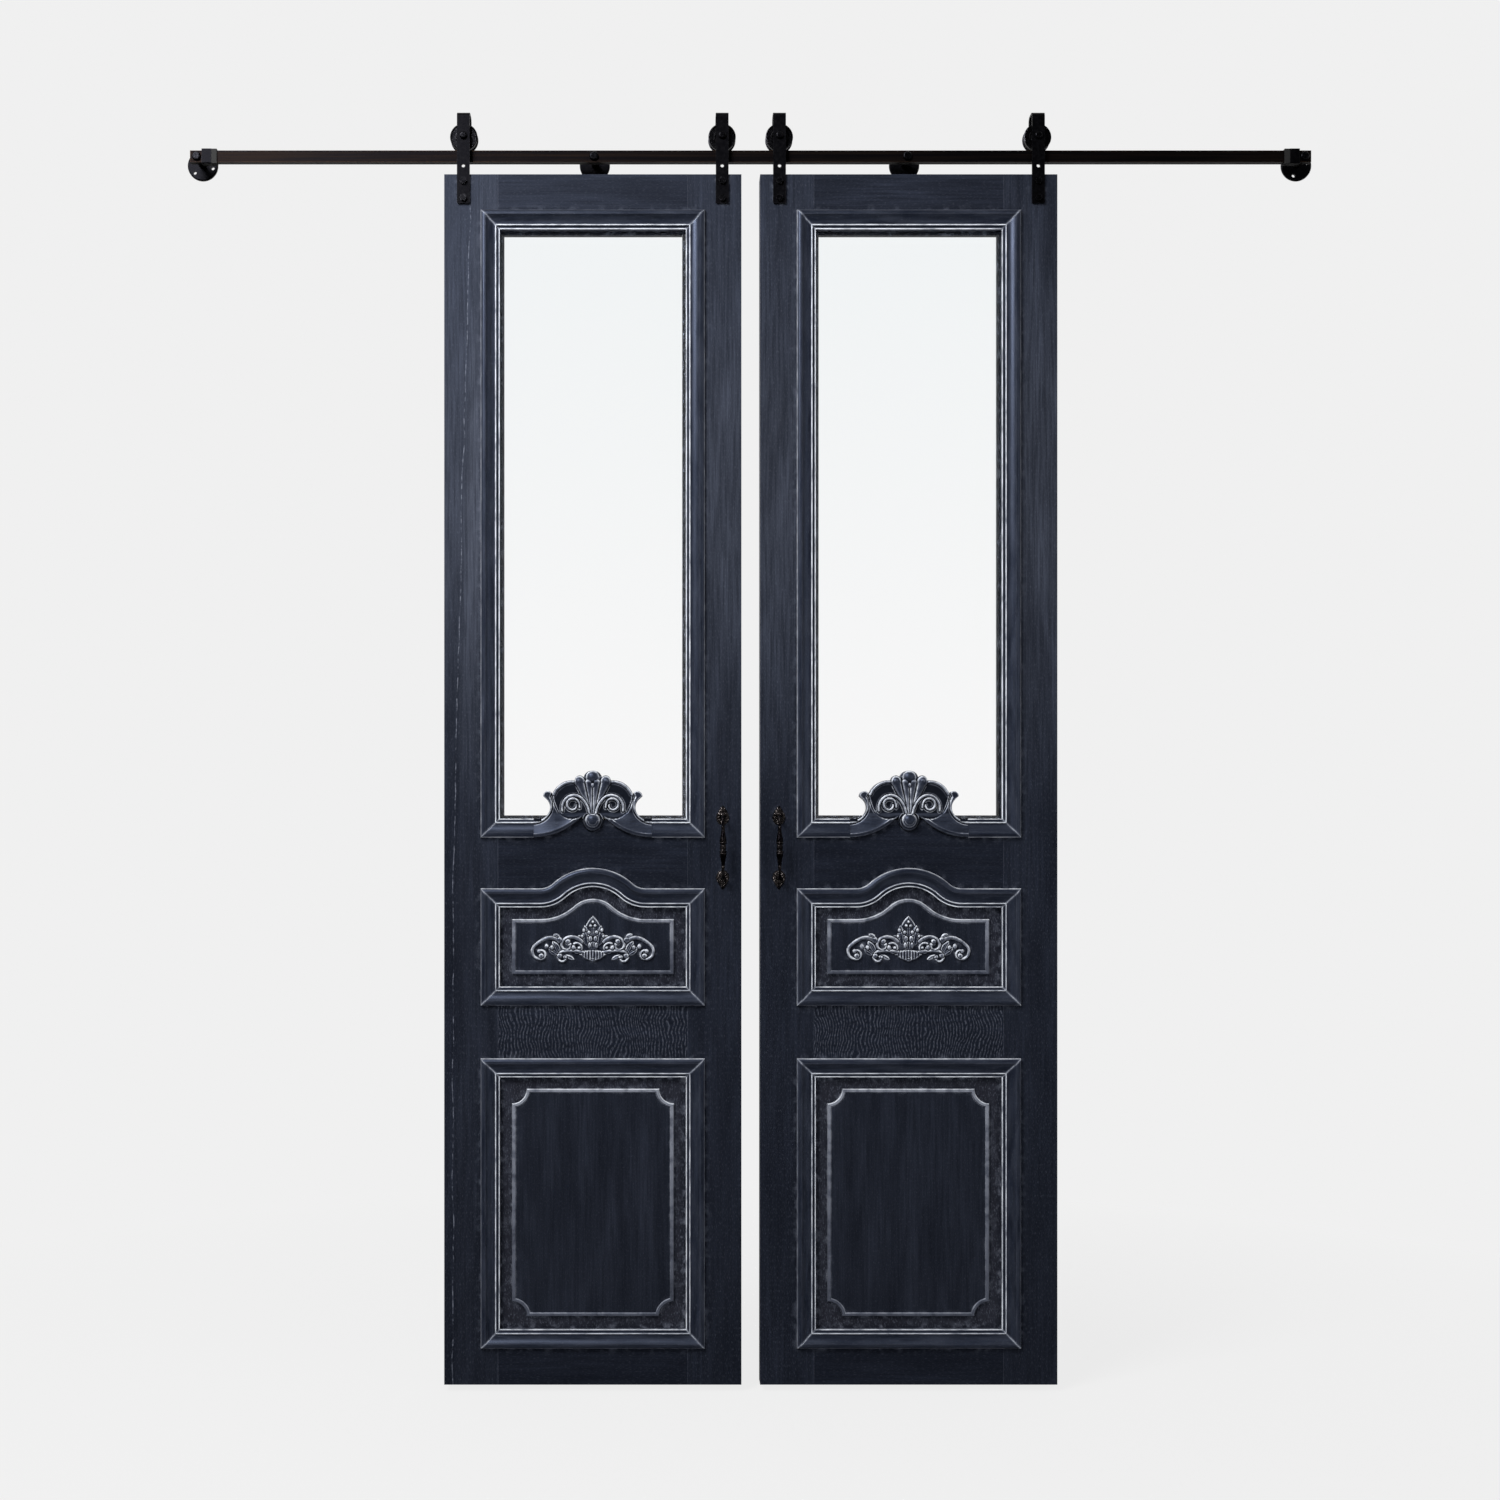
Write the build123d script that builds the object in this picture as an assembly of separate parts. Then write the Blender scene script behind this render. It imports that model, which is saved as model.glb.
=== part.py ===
from build123d import *
import math
import os

# A pair of sliding doors on a bar track. Millimetres, +X along the track, +Z up,
# the front faces -Y. The origin is under the middle of the pair, halfway through
# its depth, level with the doors' bottom edges.

# Door leaf
leaf_height = 2134.0
leaf_width = 524.0
leaf_thickness = 38.0
leaf_gap = 33.0
stile_width = 95.0
top_rail_height = 94.0
lock_rail_height = 150.5
upper_opening_height = 145.5
mid_rail_height = 154.0
lower_opening_height = 450.0

# Joinery inside the leaf
tenon_length = 42.0
tenon_thickness = 12.0
tenon_shoulder = 14.0
tongue_depth = 8.0
tongue_thickness = 9.0
joint_clearance = 0.2

# Panels
panel_recess = 10.0
panel_thickness = 16.0
field_rise = 3.5
bead_margin = 24.0
bead_width = 7.0
bead_rise = 2.0
bead_chamfer = 1.6
scoop_radius = 26.0

# Arched head of the upper panel
arch_rise = 36.0
arch_half_span = 93.0
arch_foot_radius = 34.0

# Bolection mouldings
moulding_cover = 30.5
moulding_height = 9.5
moulding_lip = 3.0
moulding_step = 2.6
moulding_edge = 3.0
moulding_round = 7.0
moulding_flat = 2.0
cove_inset = 7.5
fillet_width = 1.5
roll_width = 4.0
roll_rise = 1.7
lip_rise = 0.8
seat_gap = 0.2

# Glazing
glass_thickness = 5.0
glass_setback = 12.0
glass_clearance = 2.0
stop_width = 9.0

# Carved crest over the lite's bottom moulding
crest_half_width = 104.0
crest_height = 82.0
crest_lift = 2.0
crest_ground_rise = 6.5
crest_rim_rise = 9.0
crest_volute_rise = 12.0
crest_fan_rise = 15.0
crest_boss_rise = 18.0
crest_boss_radius = 17.5
crest_boss_z = -7.0
crest_boss_flat = 6.3
crest_lobe_radius = 12.0
crest_rim_width = 5.4

# Scroll ornament on the upper panel, heights above the panel's raised field
ornament_lift = 46.2
ornament_leaf_rise = 3.0
ornament_scroll_rise = 4.8
ornament_bud_rise = 5.6
shell_rib_pitch = 5.0
shell_rib_groove = 1.2

# Pull handle
handle_height = 947.0
handle_inset = 33.0
handle_length = 148.0
handle_reach = 34.0
handle_plate_width = 22.0
handle_plate_length = 34.0
handle_plate_tip = 21.0
handle_plate_thickness = 3.0
handle_post_radius = 3.6
handle_neck_radius = 2.2
handle_bell_radius = 6.0
handle_ring_radius = 6.8
handle_knuckle = 7.3
handle_screw_radius = 1.8
handle_screw_head_radius = 2.8
handle_screw_head_height = 1.4

# Track bar and what fixes it to the wall
bar_length = 1981.0
bar_height = 20.5
bar_thickness = 12.0
bar_over_leaf = 24.3
wall_gap = 20.0
outer_fixing_inset = 11.5
inner_fixing_x = 277.0
flange_radius = 27.0
flange_thickness = 5.0
flange_hole_circle = 38.0
flange_hole_radius = 3.0
flange_hole_count = 3
flange_turns = (104.0, 30.0, 30.0, 14.0)
standoff_radius = 6.0
track_bolt_radius = 4.0
track_bolt_head_radius = 7.8
track_bolt_head_height = 4.5
bolt_clearance = 0.1

# End stops
stop_clip_width = 17.0
stop_clip_wall = 3.0
stop_inset = 29.5
bumper_width = 9.5
bumper_wall = 2.4

# Hangers
strap_width = 22.4
strap_thickness = 4.0
strap_inset = 34.0
strap_below_leaf_top = 52.0
strap_bend_radius = 5.0
strap_corner_radius = 2.0
strap_over_axle = 42.5
strap_under_axle = 13.0
strap_hole_radius = 3.1
strap_hole_heights = (9.0, 39.0, 66.0)
strap_bolt_radius = 3.0
strap_bolt_length = 30.0
bolt_head_radius = 6.2
bolt_head_height = 4.0

# Rollers
tread_radius = 22.2
wheel_flange_radius = 24.2
wheel_width = 19.0
wheel_groove_width = 14.0
wheel_ring_radius = 14.0
wheel_ring_width = 3.0
wheel_dish = 2.0
wheel_bar_gap = 0.3
axle_radius = 4.0
axle_head_radius = 6.5
axle_head_height = 4.5
axle_nut_height = 5.5
bush_wall = 3.0
running_clearance = 0.05
side_clearance = 0.3

# Places across the depth, from the wall forward
wall_y = (wall_gap + leaf_thickness + handle_reach) / 2
leaf_back_y = wall_y - wall_gap
leaf_front_y = leaf_back_y - leaf_thickness
strap_front_y = leaf_front_y - strap_thickness
strap_bar_space = 7.5
bar_front_y = leaf_front_y + strap_bar_space
bar_back_y = bar_front_y + bar_thickness
bar_mid_y = (bar_front_y + bar_back_y) / 2
rear_leg_y = 2 * bar_mid_y - leaf_front_y

# Heights
lower_opening_z = stile_width
mid_rail_z = lower_opening_z + lower_opening_height
upper_opening_z = mid_rail_z + mid_rail_height
lock_rail_z = upper_opening_z + upper_opening_height
lite_z = lock_rail_z + lock_rail_height
lite_top_z = leaf_height - top_rail_height
lite_height = lite_top_z - lite_z
bar_z = leaf_height + bar_over_leaf + bar_height / 2
bar_top_z = bar_z + bar_height / 2
axle_z = bar_top_z + wheel_bar_gap + tread_radius
strap_top_z = axle_z + strap_over_axle
strap_bottom_z = leaf_height - strap_below_leaf_top

# Widths
opening_half = leaf_width / 2 - stile_width
leaf_x = (leaf_width + leaf_gap) / 2
strap_x = leaf_width / 2 - strap_inset
stop_clip_x = bar_length / 2 - stop_inset
arch_k = arch_foot_radius - arch_rise
arch_radius = (arch_half_span**2 + arch_k**2 - arch_foot_radius**2) / (2 * arch_rise)


def block(x0, x1, y0, y1, z0, z1):
    """A box between two corners."""
    size = Box(abs(x1 - x0), abs(y1 - y0), abs(z1 - z0))
    return Pos((x0 + x1) / 2, (y0 + y1) / 2, (z0 + z1) / 2) * size


def front_plane(y, x=0.0, z=0.0):
    """A drawing plane that faces the viewer: right is +X, up is +Z, out is -Y."""
    return Plane(origin=(x, y, z), x_dir=(1, 0, 0), z_dir=(0, -1, 0))


def raise_from(face, y, rise, x=0.0, z=0.0):
    """A flat outline carried forward from depth y by rise."""
    return extrude(front_plane(y, x, z) * face, amount=rise)


def rod(radius, y_back, y_front, x, z):
    """A round bar along the depth."""
    return raise_from(Circle(radius), y_back, y_back - y_front, x, z)


def mirrored(shape):
    """The same shape on the other side of the leaf's middle."""
    return mirror(shape, about=Plane.YZ)


# Outlines of the openings and of what follows them


def plain_outline(z0, height, inset):
    """The rectangle that lies inset inside an opening of the leaf."""
    low = z0 + inset
    high = z0 + height - inset
    half = opening_half - inset
    return Pos(0, (low + high) / 2) * Rectangle(2 * half, high - low)


def arch_outline(z0, height, inset):
    """The arched opening, inset all round, with true offsets of its arcs."""
    half = opening_half - inset
    low = z0 + inset
    outer_z = z0 + height + moulding_cover
    flat = z0 + height - inset
    offset = moulding_cover + inset
    crown_z = outer_z + arch_rise - arch_radius
    crown_r = arch_radius - offset
    foot_z = outer_z + arch_foot_radius
    foot_r = arch_foot_radius + offset
    lean = math.atan2(foot_z - crown_z, arch_half_span)
    join = (crown_r * math.cos(lean), crown_z + crown_r * math.sin(lean))
    mid_turn = (-math.pi / 2 + lean - math.pi) / 2
    bend = (
        arch_half_span + foot_r * math.cos(mid_turn),
        foot_z + foot_r * math.sin(mid_turn),
    )
    right_foot = ThreePointArc((arch_half_span, flat), bend, join)
    crown = ThreePointArc(join, (0, crown_z + crown_r), (-join[0], join[1]))
    left_foot = ThreePointArc((-join[0], join[1]), (-bend[0], bend[1]), (-arch_half_span, flat))
    edges = [
        Line((-half, low), (half, low)),
        Line((half, low), (half, flat)),
        Line((half, flat), (arch_half_span, flat)),
        right_foot,
        crown,
        left_foot,
        Line((-arch_half_span, flat), (-half, flat)),
        Line((-half, flat), (-half, low)),
    ]
    return make_face(edges)


def scooped_outline(z0, height, inset):
    """A rectangle whose corners are scooped out by quarter circles."""
    half = opening_half - bead_margin
    low = z0 + bead_margin
    high = z0 + height - bead_margin
    size = (2 * (half - inset), high - low - 2 * inset)
    outline = Pos(0, (low + high) / 2) * Rectangle(*size)
    for x in (-half, half):
        for z in (low, high):
            outline -= Pos(x, z) * Circle(scoop_radius + inset)
    return outline


# Frame of the leaf


def panel_pocket(outline, z0, height):
    """The groove round an opening, as the space that the panel's tongue fills."""
    y = leaf_front_y + panel_recess + (panel_thickness - tongue_thickness) / 2
    back = y + tongue_thickness + joint_clearance
    rise = tongue_thickness + 2 * joint_clearance
    return raise_from(outline(z0, height, -tongue_depth - joint_clearance), back, rise)


def leaf_pockets():
    """Both panel grooves."""
    lower = panel_pocket(plain_outline, lower_opening_z, lower_opening_height)
    upper = panel_pocket(arch_outline, upper_opening_z, upper_opening_height)
    return lower + upper


def rail_spans():
    """Bottom and top height of each rail, low to high, with its name."""
    return (
        ("bottom_rail", 0.0, lower_opening_z),
        ("mid_rail", mid_rail_z, upper_opening_z),
        ("lock_rail", lock_rail_z, lite_z),
        ("top_rail", lite_top_z, leaf_height),
    )


def tenon(z0, z1, slack):
    """A pair of tenons on a rail, or their mortises when slack is given."""
    y_mid = (leaf_front_y + leaf_back_y) / 2
    half_y = tenon_thickness / 2 + slack
    reach = opening_half + tenon_length + slack
    low = z0 + tenon_shoulder - slack
    high = z1 - tenon_shoulder + slack
    return block(-reach, reach, y_mid - half_y, y_mid + half_y, low, high)


def stile(sign, pockets):
    """One upright of the leaf, with its mortises, panel grooves and bolt holes."""
    inner = sign * opening_half
    outer = sign * leaf_width / 2
    upright = block(inner, outer, leaf_front_y, leaf_back_y, 0, leaf_height)
    for _, z0, z1 in rail_spans():
        upright -= tenon(z0, z1, joint_clearance)
    upright -= pockets
    for height in strap_hole_heights:
        z = strap_bottom_z + height
        if z < leaf_height:
            depth = leaf_front_y + strap_bolt_length
            upright -= rod(strap_hole_radius, depth, leaf_front_y, sign * strap_x, z)
    return upright


def rail(z0, z1, pockets):
    """One cross piece of the leaf with a tenon on each end."""
    body = block(-opening_half, opening_half, leaf_front_y, leaf_back_y, z0, z1)
    body += tenon(z0, z1, 0.0)
    return body - pockets


def lock_rail(z0, z1, pockets):
    """The rail over the arched panel: its lower edge follows the arch."""
    arch = arch_outline(upper_opening_z, upper_opening_height, 0.0)
    cut = raise_from(arch, leaf_back_y, leaf_thickness)
    return rail(z0, z1, pockets) - cut


# Panels


def board(outline, z0, height):
    """A panel's flat board with its tongue all round."""
    back = leaf_front_y + panel_recess + panel_thickness
    body = raise_from(outline(z0, height, joint_clearance), back, panel_thickness)
    tongue_back = back - (panel_thickness - tongue_thickness) / 2
    tongue = raise_from(outline(z0, height, -tongue_depth), tongue_back, tongue_thickness)
    return body + tongue


def raised_field(outer, inner):
    """The raised field and the bead that runs round its edge."""
    base = leaf_front_y + panel_recess
    field = raise_from(outer, base, field_rise)
    bead = raise_from(outer - inner, base, field_rise + bead_rise)
    top = bead.faces().sort_by(Axis.Y)[0]
    bead = chamfer(top.edges(), length=bead_chamfer)
    return field + bead


def upper_panel():
    """The arched raised panel."""
    outer = arch_outline(upper_opening_z, upper_opening_height, bead_margin)
    inner = arch_outline(upper_opening_z, upper_opening_height, bead_margin + bead_width)
    return board(arch_outline, upper_opening_z, upper_opening_height) + raised_field(outer, inner)


def lower_panel():
    """The tall raised panel with scooped corners."""
    outer = scooped_outline(lower_opening_z, lower_opening_height, 0.0)
    inner = scooped_outline(lower_opening_z, lower_opening_height, bead_width)
    return board(plain_outline, lower_opening_z, lower_opening_height) + raised_field(outer, inner)


# Bolection mouldings


def moulding_section(drop):
    """The section, x from the outer edge towards the opening, y forward of the leaf.

    A rounded back edge falls through a wide cove to a fillet and a bead, and a
    lip goes down into the opening by drop.
    """
    lip_start = moulding_cover + seat_gap
    width = moulding_cover + moulding_lip
    peak = moulding_height
    crown_end = moulding_round + moulding_flat
    cove_end = moulding_cover - cove_inset
    roll_start = cove_end + fillet_width
    roll_end = roll_start + roll_width
    low = moulding_step
    edges = [
        Line((0, 0), (0, moulding_edge)),
        ThreePointArc((0, moulding_edge), (2.2, peak - 1.9), (moulding_round, peak)),
        Line((moulding_round, peak), (crown_end, peak)),
        ThreePointArc((crown_end, peak), (15.0, low + 2.2), (cove_end, low)),
        Line((cove_end, low), (roll_start, low)),
        ThreePointArc((roll_start, low), (roll_start + roll_width / 2, low + roll_rise), (roll_end, low)),
        Line((roll_end, low), (roll_end, lip_rise)),
        Line((roll_end, lip_rise), (width, lip_rise)),
        Line((width, lip_rise), (width, -drop)),
        Line((width, -drop), (lip_start, -drop)),
        Line((lip_start, -drop), (lip_start, 0)),
        Line((lip_start, 0), (0, 0)),
    ]
    return make_face(edges)


def stick_plane(origin, inward, along):
    """A drawing plane for a stick's section: x inward, y forward, z along the stick."""
    return Plane(origin=origin, x_dir=inward, z_dir=along)


def mitre_prism(length, start=True, end=True):
    """The space between two mitres, in the frame of a stick that starts at its corner."""
    reach = moulding_cover + 2 * moulding_lip
    over = moulding_height + glass_setback
    s0 = reach if start else 0
    s1 = length - reach if end else length
    points = [
        (0, -over, 0),
        (0, -over, length),
        (reach, -over, s1),
        (reach, -over, s0),
        (0, -over, 0),
    ]
    face = make_face(Polyline(*points))
    return extrude(face, amount=2 * over, dir=(0, 1, 0))


def straight_stick(section, plane, length, start=True, end=True):
    """One straight mitred stick."""
    stick = extrude(section, amount=length) & mitre_prism(length, start, end)
    return plane.location * stick


def frame_corners(z0, height):
    """Outer corners of a moulding round an opening."""
    half = opening_half + moulding_cover
    return half, z0 - moulding_cover, z0 + height + moulding_cover


def upright_sticks(section, z0, height):
    """The two upright sticks of a moulding."""
    half, low, high = frame_corners(z0, height)
    right = stick_plane((half, leaf_front_y, low), (-1, 0, 0), (0, 0, 1))
    left = stick_plane((-half, leaf_front_y, high), (1, 0, 0), (0, 0, -1))
    length = high - low
    return [straight_stick(section, right, length), straight_stick(section, left, length)]


def bottom_stick(section, z0, height):
    """The straight bottom stick of a moulding."""
    half, low, _ = frame_corners(z0, height)
    plane = stick_plane((-half, leaf_front_y, low), (0, 0, 1), (1, 0, 0))
    return straight_stick(section, plane, 2 * half)


def top_stick(section, z0, height):
    """The straight top stick of a moulding."""
    half, _, high = frame_corners(z0, height)
    plane = stick_plane((half, leaf_front_y, high), (0, 0, -1), (-1, 0, 0))
    return straight_stick(section, plane, 2 * half)


def turned_stick(section, centre_z, centre_x, radius, start, sweep_angle):
    """A stretch of moulding bent round a centre, with its outer edge on radius."""
    out = 1 if sweep_angle > 0 else -1
    angle = math.radians(start)
    ray = (math.cos(angle), 0, math.sin(angle))
    origin = (
        centre_x + radius * ray[0],
        leaf_front_y,
        centre_z + radius * ray[2],
    )
    inward = tuple(-out * value for value in ray)
    along = (-out * ray[2], 0, out * ray[0])
    face = Plane(origin=origin, x_dir=inward, z_dir=along) * section
    axis = Axis((centre_x, 0, centre_z), (0, -1, 0))
    return revolve(face, axis=axis, revolution_arc=sweep_angle)


def arched_stick(section, z0, height):
    """The top stick of the upper moulding: flat, foot arc, crown, foot arc, flat."""
    half, _, high = frame_corners(z0, height)
    crown_z = high + arch_rise - arch_radius
    foot_z = high + arch_foot_radius
    lean = math.degrees(math.atan2(foot_z - crown_z, arch_half_span))
    turn = 90.0 - lean
    plane = stick_plane((half, leaf_front_y, high), (0, 0, -1), (-1, 0, 0))
    flat_length = half - arch_half_span
    flat = straight_stick(section, plane, flat_length, end=False)
    foot = turned_stick(section, foot_z, arch_half_span, arch_foot_radius, -90.0, -turn)
    crown = turned_stick(section, crown_z, 0.0, arch_radius, lean, 2 * turn)
    return flat + foot + crown + mirrored(foot) + mirrored(flat)


def panel_moulding(z0, height, arched):
    """The four sticks round a panel, each a separate solid."""
    section = moulding_section(panel_recess - seat_gap)
    head = arched_stick if arched else top_stick
    sticks = upright_sticks(section, z0, height)
    sticks += [bottom_stick(section, z0, height), head(section, z0, height)]
    return Compound(children=[stick.solid() for stick in sticks])


def lite_moulding():
    """Round the lite: two uprights, a top stick and two short bottom sticks."""
    section = moulding_section(glass_setback - seat_gap)
    half, low, _ = frame_corners(lite_z, lite_height)
    sticks = upright_sticks(section, lite_z, lite_height)
    sticks.append(top_stick(section, lite_z, lite_height))
    short = half - crest_half_width - seat_gap
    plane = stick_plane((-half, leaf_front_y, low), (0, 0, 1), (1, 0, 0))
    left = straight_stick(section, plane, short, end=False)
    sticks += [left, mirrored(left)]
    return Compound(children=[stick.solid() for stick in sticks])


# Glazing


def glass():
    """The pane, held between the moulding's lip and the stops behind."""
    front = leaf_front_y + glass_setback
    outline = plain_outline(lite_z, lite_height, glass_clearance)
    return raise_from(outline, front + glass_thickness, glass_thickness)


def glass_stops():
    """Four square stops pinned behind the pane, mitre-free, long ones upright."""
    front = leaf_front_y + glass_setback + glass_thickness + seat_gap
    half = opening_half - seat_gap
    low = lite_z + seat_gap
    high = lite_top_z - seat_gap
    inner = half - stop_width
    back = front + stop_width
    left = block(-half, -inner, front, back, low, high)
    bottom = block(-inner + seat_gap, inner - seat_gap, front, back, low, low + stop_width)
    top = block(-inner + seat_gap, inner - seat_gap, front, back, high - stop_width, high)
    pieces = [left, mirrored(left), bottom, top]
    return Compound(children=[piece.solid() for piece in pieces])


# Carving, drawn for the right half and mirrored


def both_sides(outline):
    """An outline together with its mirror image."""
    return outline + mirror(outline, about=Plane.YZ)


def scroll_arcs(start, heading, turns):
    """A chain of tangent arcs; turns lists the radius and the angle of each."""
    arcs = []
    for radius, turn in turns:
        angle = math.radians(heading)
        arcs.append(JernArc(start, (math.cos(angle), math.sin(angle)), radius, turn))
        start = arcs[-1] @ 1
        heading += turn
    return arcs


def band(arcs, start_width, end_width):
    """A flat band along a chain of arcs that tapers evenly from end to end."""
    left = []
    right = []
    for index, arc in enumerate(arcs):
        for side, edges in ((1, left), (-1, right)):
            points = []
            for part in (0, 0.5, 1):
                share = (index + part) / len(arcs)
                half = (start_width + (end_width - start_width) * share) / 2
                along = arc % part
                points.append(arc @ part + Vector(-along.Y, along.X) * side * half)
            edges.append(ThreePointArc(*points))
    ends = [Line(left[0] @ 0, right[0] @ 0), Line(left[-1] @ 1, right[-1] @ 1)]
    return make_face(left + right + ends)


def scroll(start, heading, turns, start_width, end_width):
    """A tapering scroll that winds up into a round eye."""
    arcs = scroll_arcs(start, heading, turns)
    end = arcs[-1] @ 1
    return band(arcs, start_width, end_width) + Pos(end.X, end.Y) * Circle(end_width)


def leaf(x, z, length, width, lean):
    """A pointed leaf from its root, leaning to the right of upright."""
    right = ThreePointArc((0, 0), (width / 2, length * 0.45), (0, length))
    left = ThreePointArc((0, length), (-width / 2, length * 0.45), (0, 0))
    return Pos(x, z) * Rot(0, 0, -lean) * make_face([right, left])


# Crest, from a line just over the ledge of the lite's moulding at height 0


def neck_edge():
    """The lower edge of the crest, sweeping up from the moulding to the boss."""
    start = (crest_half_width, -crest_lift - moulding_lip - moulding_cover)
    return ThreePointArc(start, (48.8, -21.6), (17.3, 3.6))


def ear_edges():
    """The ledge and the curled ear beside the shell."""
    return [
        Line((crest_half_width, -crest_lift), (96, -crest_lift)),
        ThreePointArc((96, -crest_lift), (75.6, 13), (81.5, 32)),
        Line((81.5, 32), (87.4, 37.5)),
        ThreePointArc((87.4, 37.5), (84, 44.5), (70.8, 41.4)),
    ]


def crest_outline():
    """The crest's silhouette: boss, neck, ear, shell arch, small lobe and top lobe."""
    neck = neck_edge()
    right = [
        ThreePointArc((0, -24.5), (13, -19), (18, -4)),
        Line((18, -4), neck @ 1),
        neck,
        Line(neck @ 0, (crest_half_width, -crest_lift)),
        *ear_edges(),
        ThreePointArc((70.8, 41.4), (57.5, 58.5), (34.6, 65.5)),
        Line((34.6, 65.5), (31.5, 65)),
        ThreePointArc((31.5, 65), (27, 73), (16, 70.5)),
        ThreePointArc((16, 70.5), (11.5, 78.5), (0, crest_height)),
        Line((0, crest_height), (0, -24.5)),
    ]
    return both_sides(make_face(right))


def crest_neck():
    """The moulding's broad surface, carried on up to the boss and into the ear."""
    neck = neck_edge()
    edges = [
        neck,
        Line(neck @ 0, (crest_half_width, -crest_lift)),
        *ear_edges(),
        ThreePointArc((70.8, 41.4), (66, 22), (58, 6)),
        ThreePointArc((58, 6), (36, -3), (17.3, 3.6)),
    ]
    return both_sides(make_face(edges))


def crest_cove():
    """The line of the moulding's cove as it turns up into the ear."""
    arcs = scroll_arcs((crest_half_width, -11.5), 180, [(33, -85), (30, -36)])
    return both_sides(band(arcs, 2.4, 1.2))


def crest_scrolls():
    """The long stem from the boss over each volute, and the volute inside it."""
    stem = band(scroll_arcs((5, 4), 82, [(60, -16), (42, -22), (20, -90), (24, -55)]), 2.6, 4.0)
    volute = scroll((23, 17), 92, [(24, -22), (10.8, -130), (9.6, -120), (7, -100)], 2.0, 3.4)
    return both_sides(stem + volute)


def crest_rim():
    """The raised rim along the shell's arch."""
    arc = ThreePointArc((33.6, 62.6), (55.6, 56), (68.6, 40.5))
    return both_sides(band([arc], crest_rim_width, crest_rim_width))


def flute(start, end, start_radius, end_radius):
    """A round flute of the fan that widens from its root to a ball at its tip."""
    rise = crest_fan_rise - end_radius
    root = Vector(start[0], -rise, start[1])
    tip = Vector(end[0], -rise, end[1])
    length = (tip - root).length
    cone = Pos(0, 0, length / 2) * Cone(start_radius, end_radius, length)
    aim = Plane(origin=root, z_dir=tip - root)
    return aim.location * cone + Pos(*tip) * Sphere(end_radius)


def crest_fan():
    """Two inner flutes under one round lobe, and an outer flute on each side."""
    lobe = Pos(0, crest_lobe_radius - crest_fan_rise, 70) * Sphere(crest_lobe_radius)
    inner = flute((1.6, 8), (6.5, 62), 2.4, 7.0)
    outer = flute((3.2, 8), (23.5, 63.5), 1.8, 8.8)
    return lobe + inner + mirrored(inner) + outer + mirrored(outer)


def crest_boss():
    """The ball that the scrolls spring from, flat on top."""
    radius = crest_boss_radius
    ball = Pos(0, radius - crest_boss_rise, crest_boss_z) * Sphere(radius)
    cut = block(-radius, radius, -2 * radius, radius, crest_boss_flat, 2 * radius)
    return ball - cut


def crest():
    """The carved crest, with the deep part that closes the gap down to the pane."""
    outline = crest_outline()
    relief = raise_from(outline, 0, crest_ground_rise)
    relief += raise_from(crest_neck(), 0, moulding_height)
    relief -= raise_from(crest_cove(), -moulding_step, moulding_height)
    relief += raise_from(crest_rim(), 0, crest_rim_rise)
    relief += raise_from(crest_scrolls(), 0, crest_volute_rise)
    relief += crest_fan()
    relief += crest_boss()
    relief &= raise_from(outline, 0, crest_boss_rise)
    base = lite_z + moulding_lip + crest_lift
    low = lite_z + seat_gap - base
    middle = (low + crest_height) / 2
    above = Pos(0, middle) * Rectangle(2 * crest_half_width, crest_height - low)
    depth = glass_setback - seat_gap
    relief += raise_from(outline & above, depth, depth)
    return Pos(0, leaf_front_y, base) * relief


# Scroll ornament, from its lowest point at height 0


def ornament_scrolls():
    """Four scrolls on the right and the knot that ties two of them."""
    outer = [(24, -54), (62, -20), (13.8, -150), (7.6, -150), (5.5, -60)]
    upper = [(26, -52), (17, -60), (9.5, -110), (6.2, -130)]
    inner = [(9, 110), (8.2, 110), (5.2, 110)]
    lower = [(90, -22), (11, -72), (7.8, -110), (5, -110)]
    outline = scroll((63, 39.5), 30, outer, 6.0, 3.4)
    outline += scroll((19, 35.5), 48, upper, 6.0, 3.0)
    outline += scroll((33, 32), 150, inner, 3.6, 2.6)
    outline += scroll((18, 17), 14, lower, 5.2, 3.0)
    outline += Pos(59.5, 38.5) * Circle(5)
    return both_sides(outline)


def ornament_leaves():
    """The small leaves that sprout between the scrolls."""
    places = [
        (60, 12, 24, 10, 55),
        (59, 14, 26, 10, 28),
        (58, 43, 13, 6, 62),
        (70, 40, 12, 6, -30),
        (94, 20, 15, 7, -150),
        (40, 28, 15, 7, 40),
        (33, 4, 18, 6, 64),
        (16, 40, 12, 6, 60),
    ]
    outline = leaf(*places[0])
    for place in places[1:]:
        outline += leaf(*place)
    return both_sides(outline)


def ornament_bud():
    """The bud over the shell, with a pair of leaves folded back on each side."""
    sides = leaf(3, 27, 28, 12, 34) + leaf(3, 24, 42, 13, 16)
    return leaf(0, 18, 63, 26, 0), both_sides(sides)


def ornament_shell():
    """The ribbed shell at the bottom: a lens with upright grooves."""
    right = [
        ThreePointArc((0, 22), (14, 20), (24, 13)),
        ThreePointArc((24, 13), (14, 5), (0, 0)),
        Line((0, 0), (0, 22)),
    ]
    return both_sides(make_face(right))


def shell_ribs():
    """The grooves between the shell's ribs, as one pattern of narrow slots."""
    slots = Rectangle(shell_rib_groove, 12)
    for count in (1, 2, 3):
        slot = Rectangle(shell_rib_groove, 12 - 2 * count)
        slots += both_sides(Pos(count * shell_rib_pitch, 0) * slot)
    return Pos(0, 11) * slots


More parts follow.
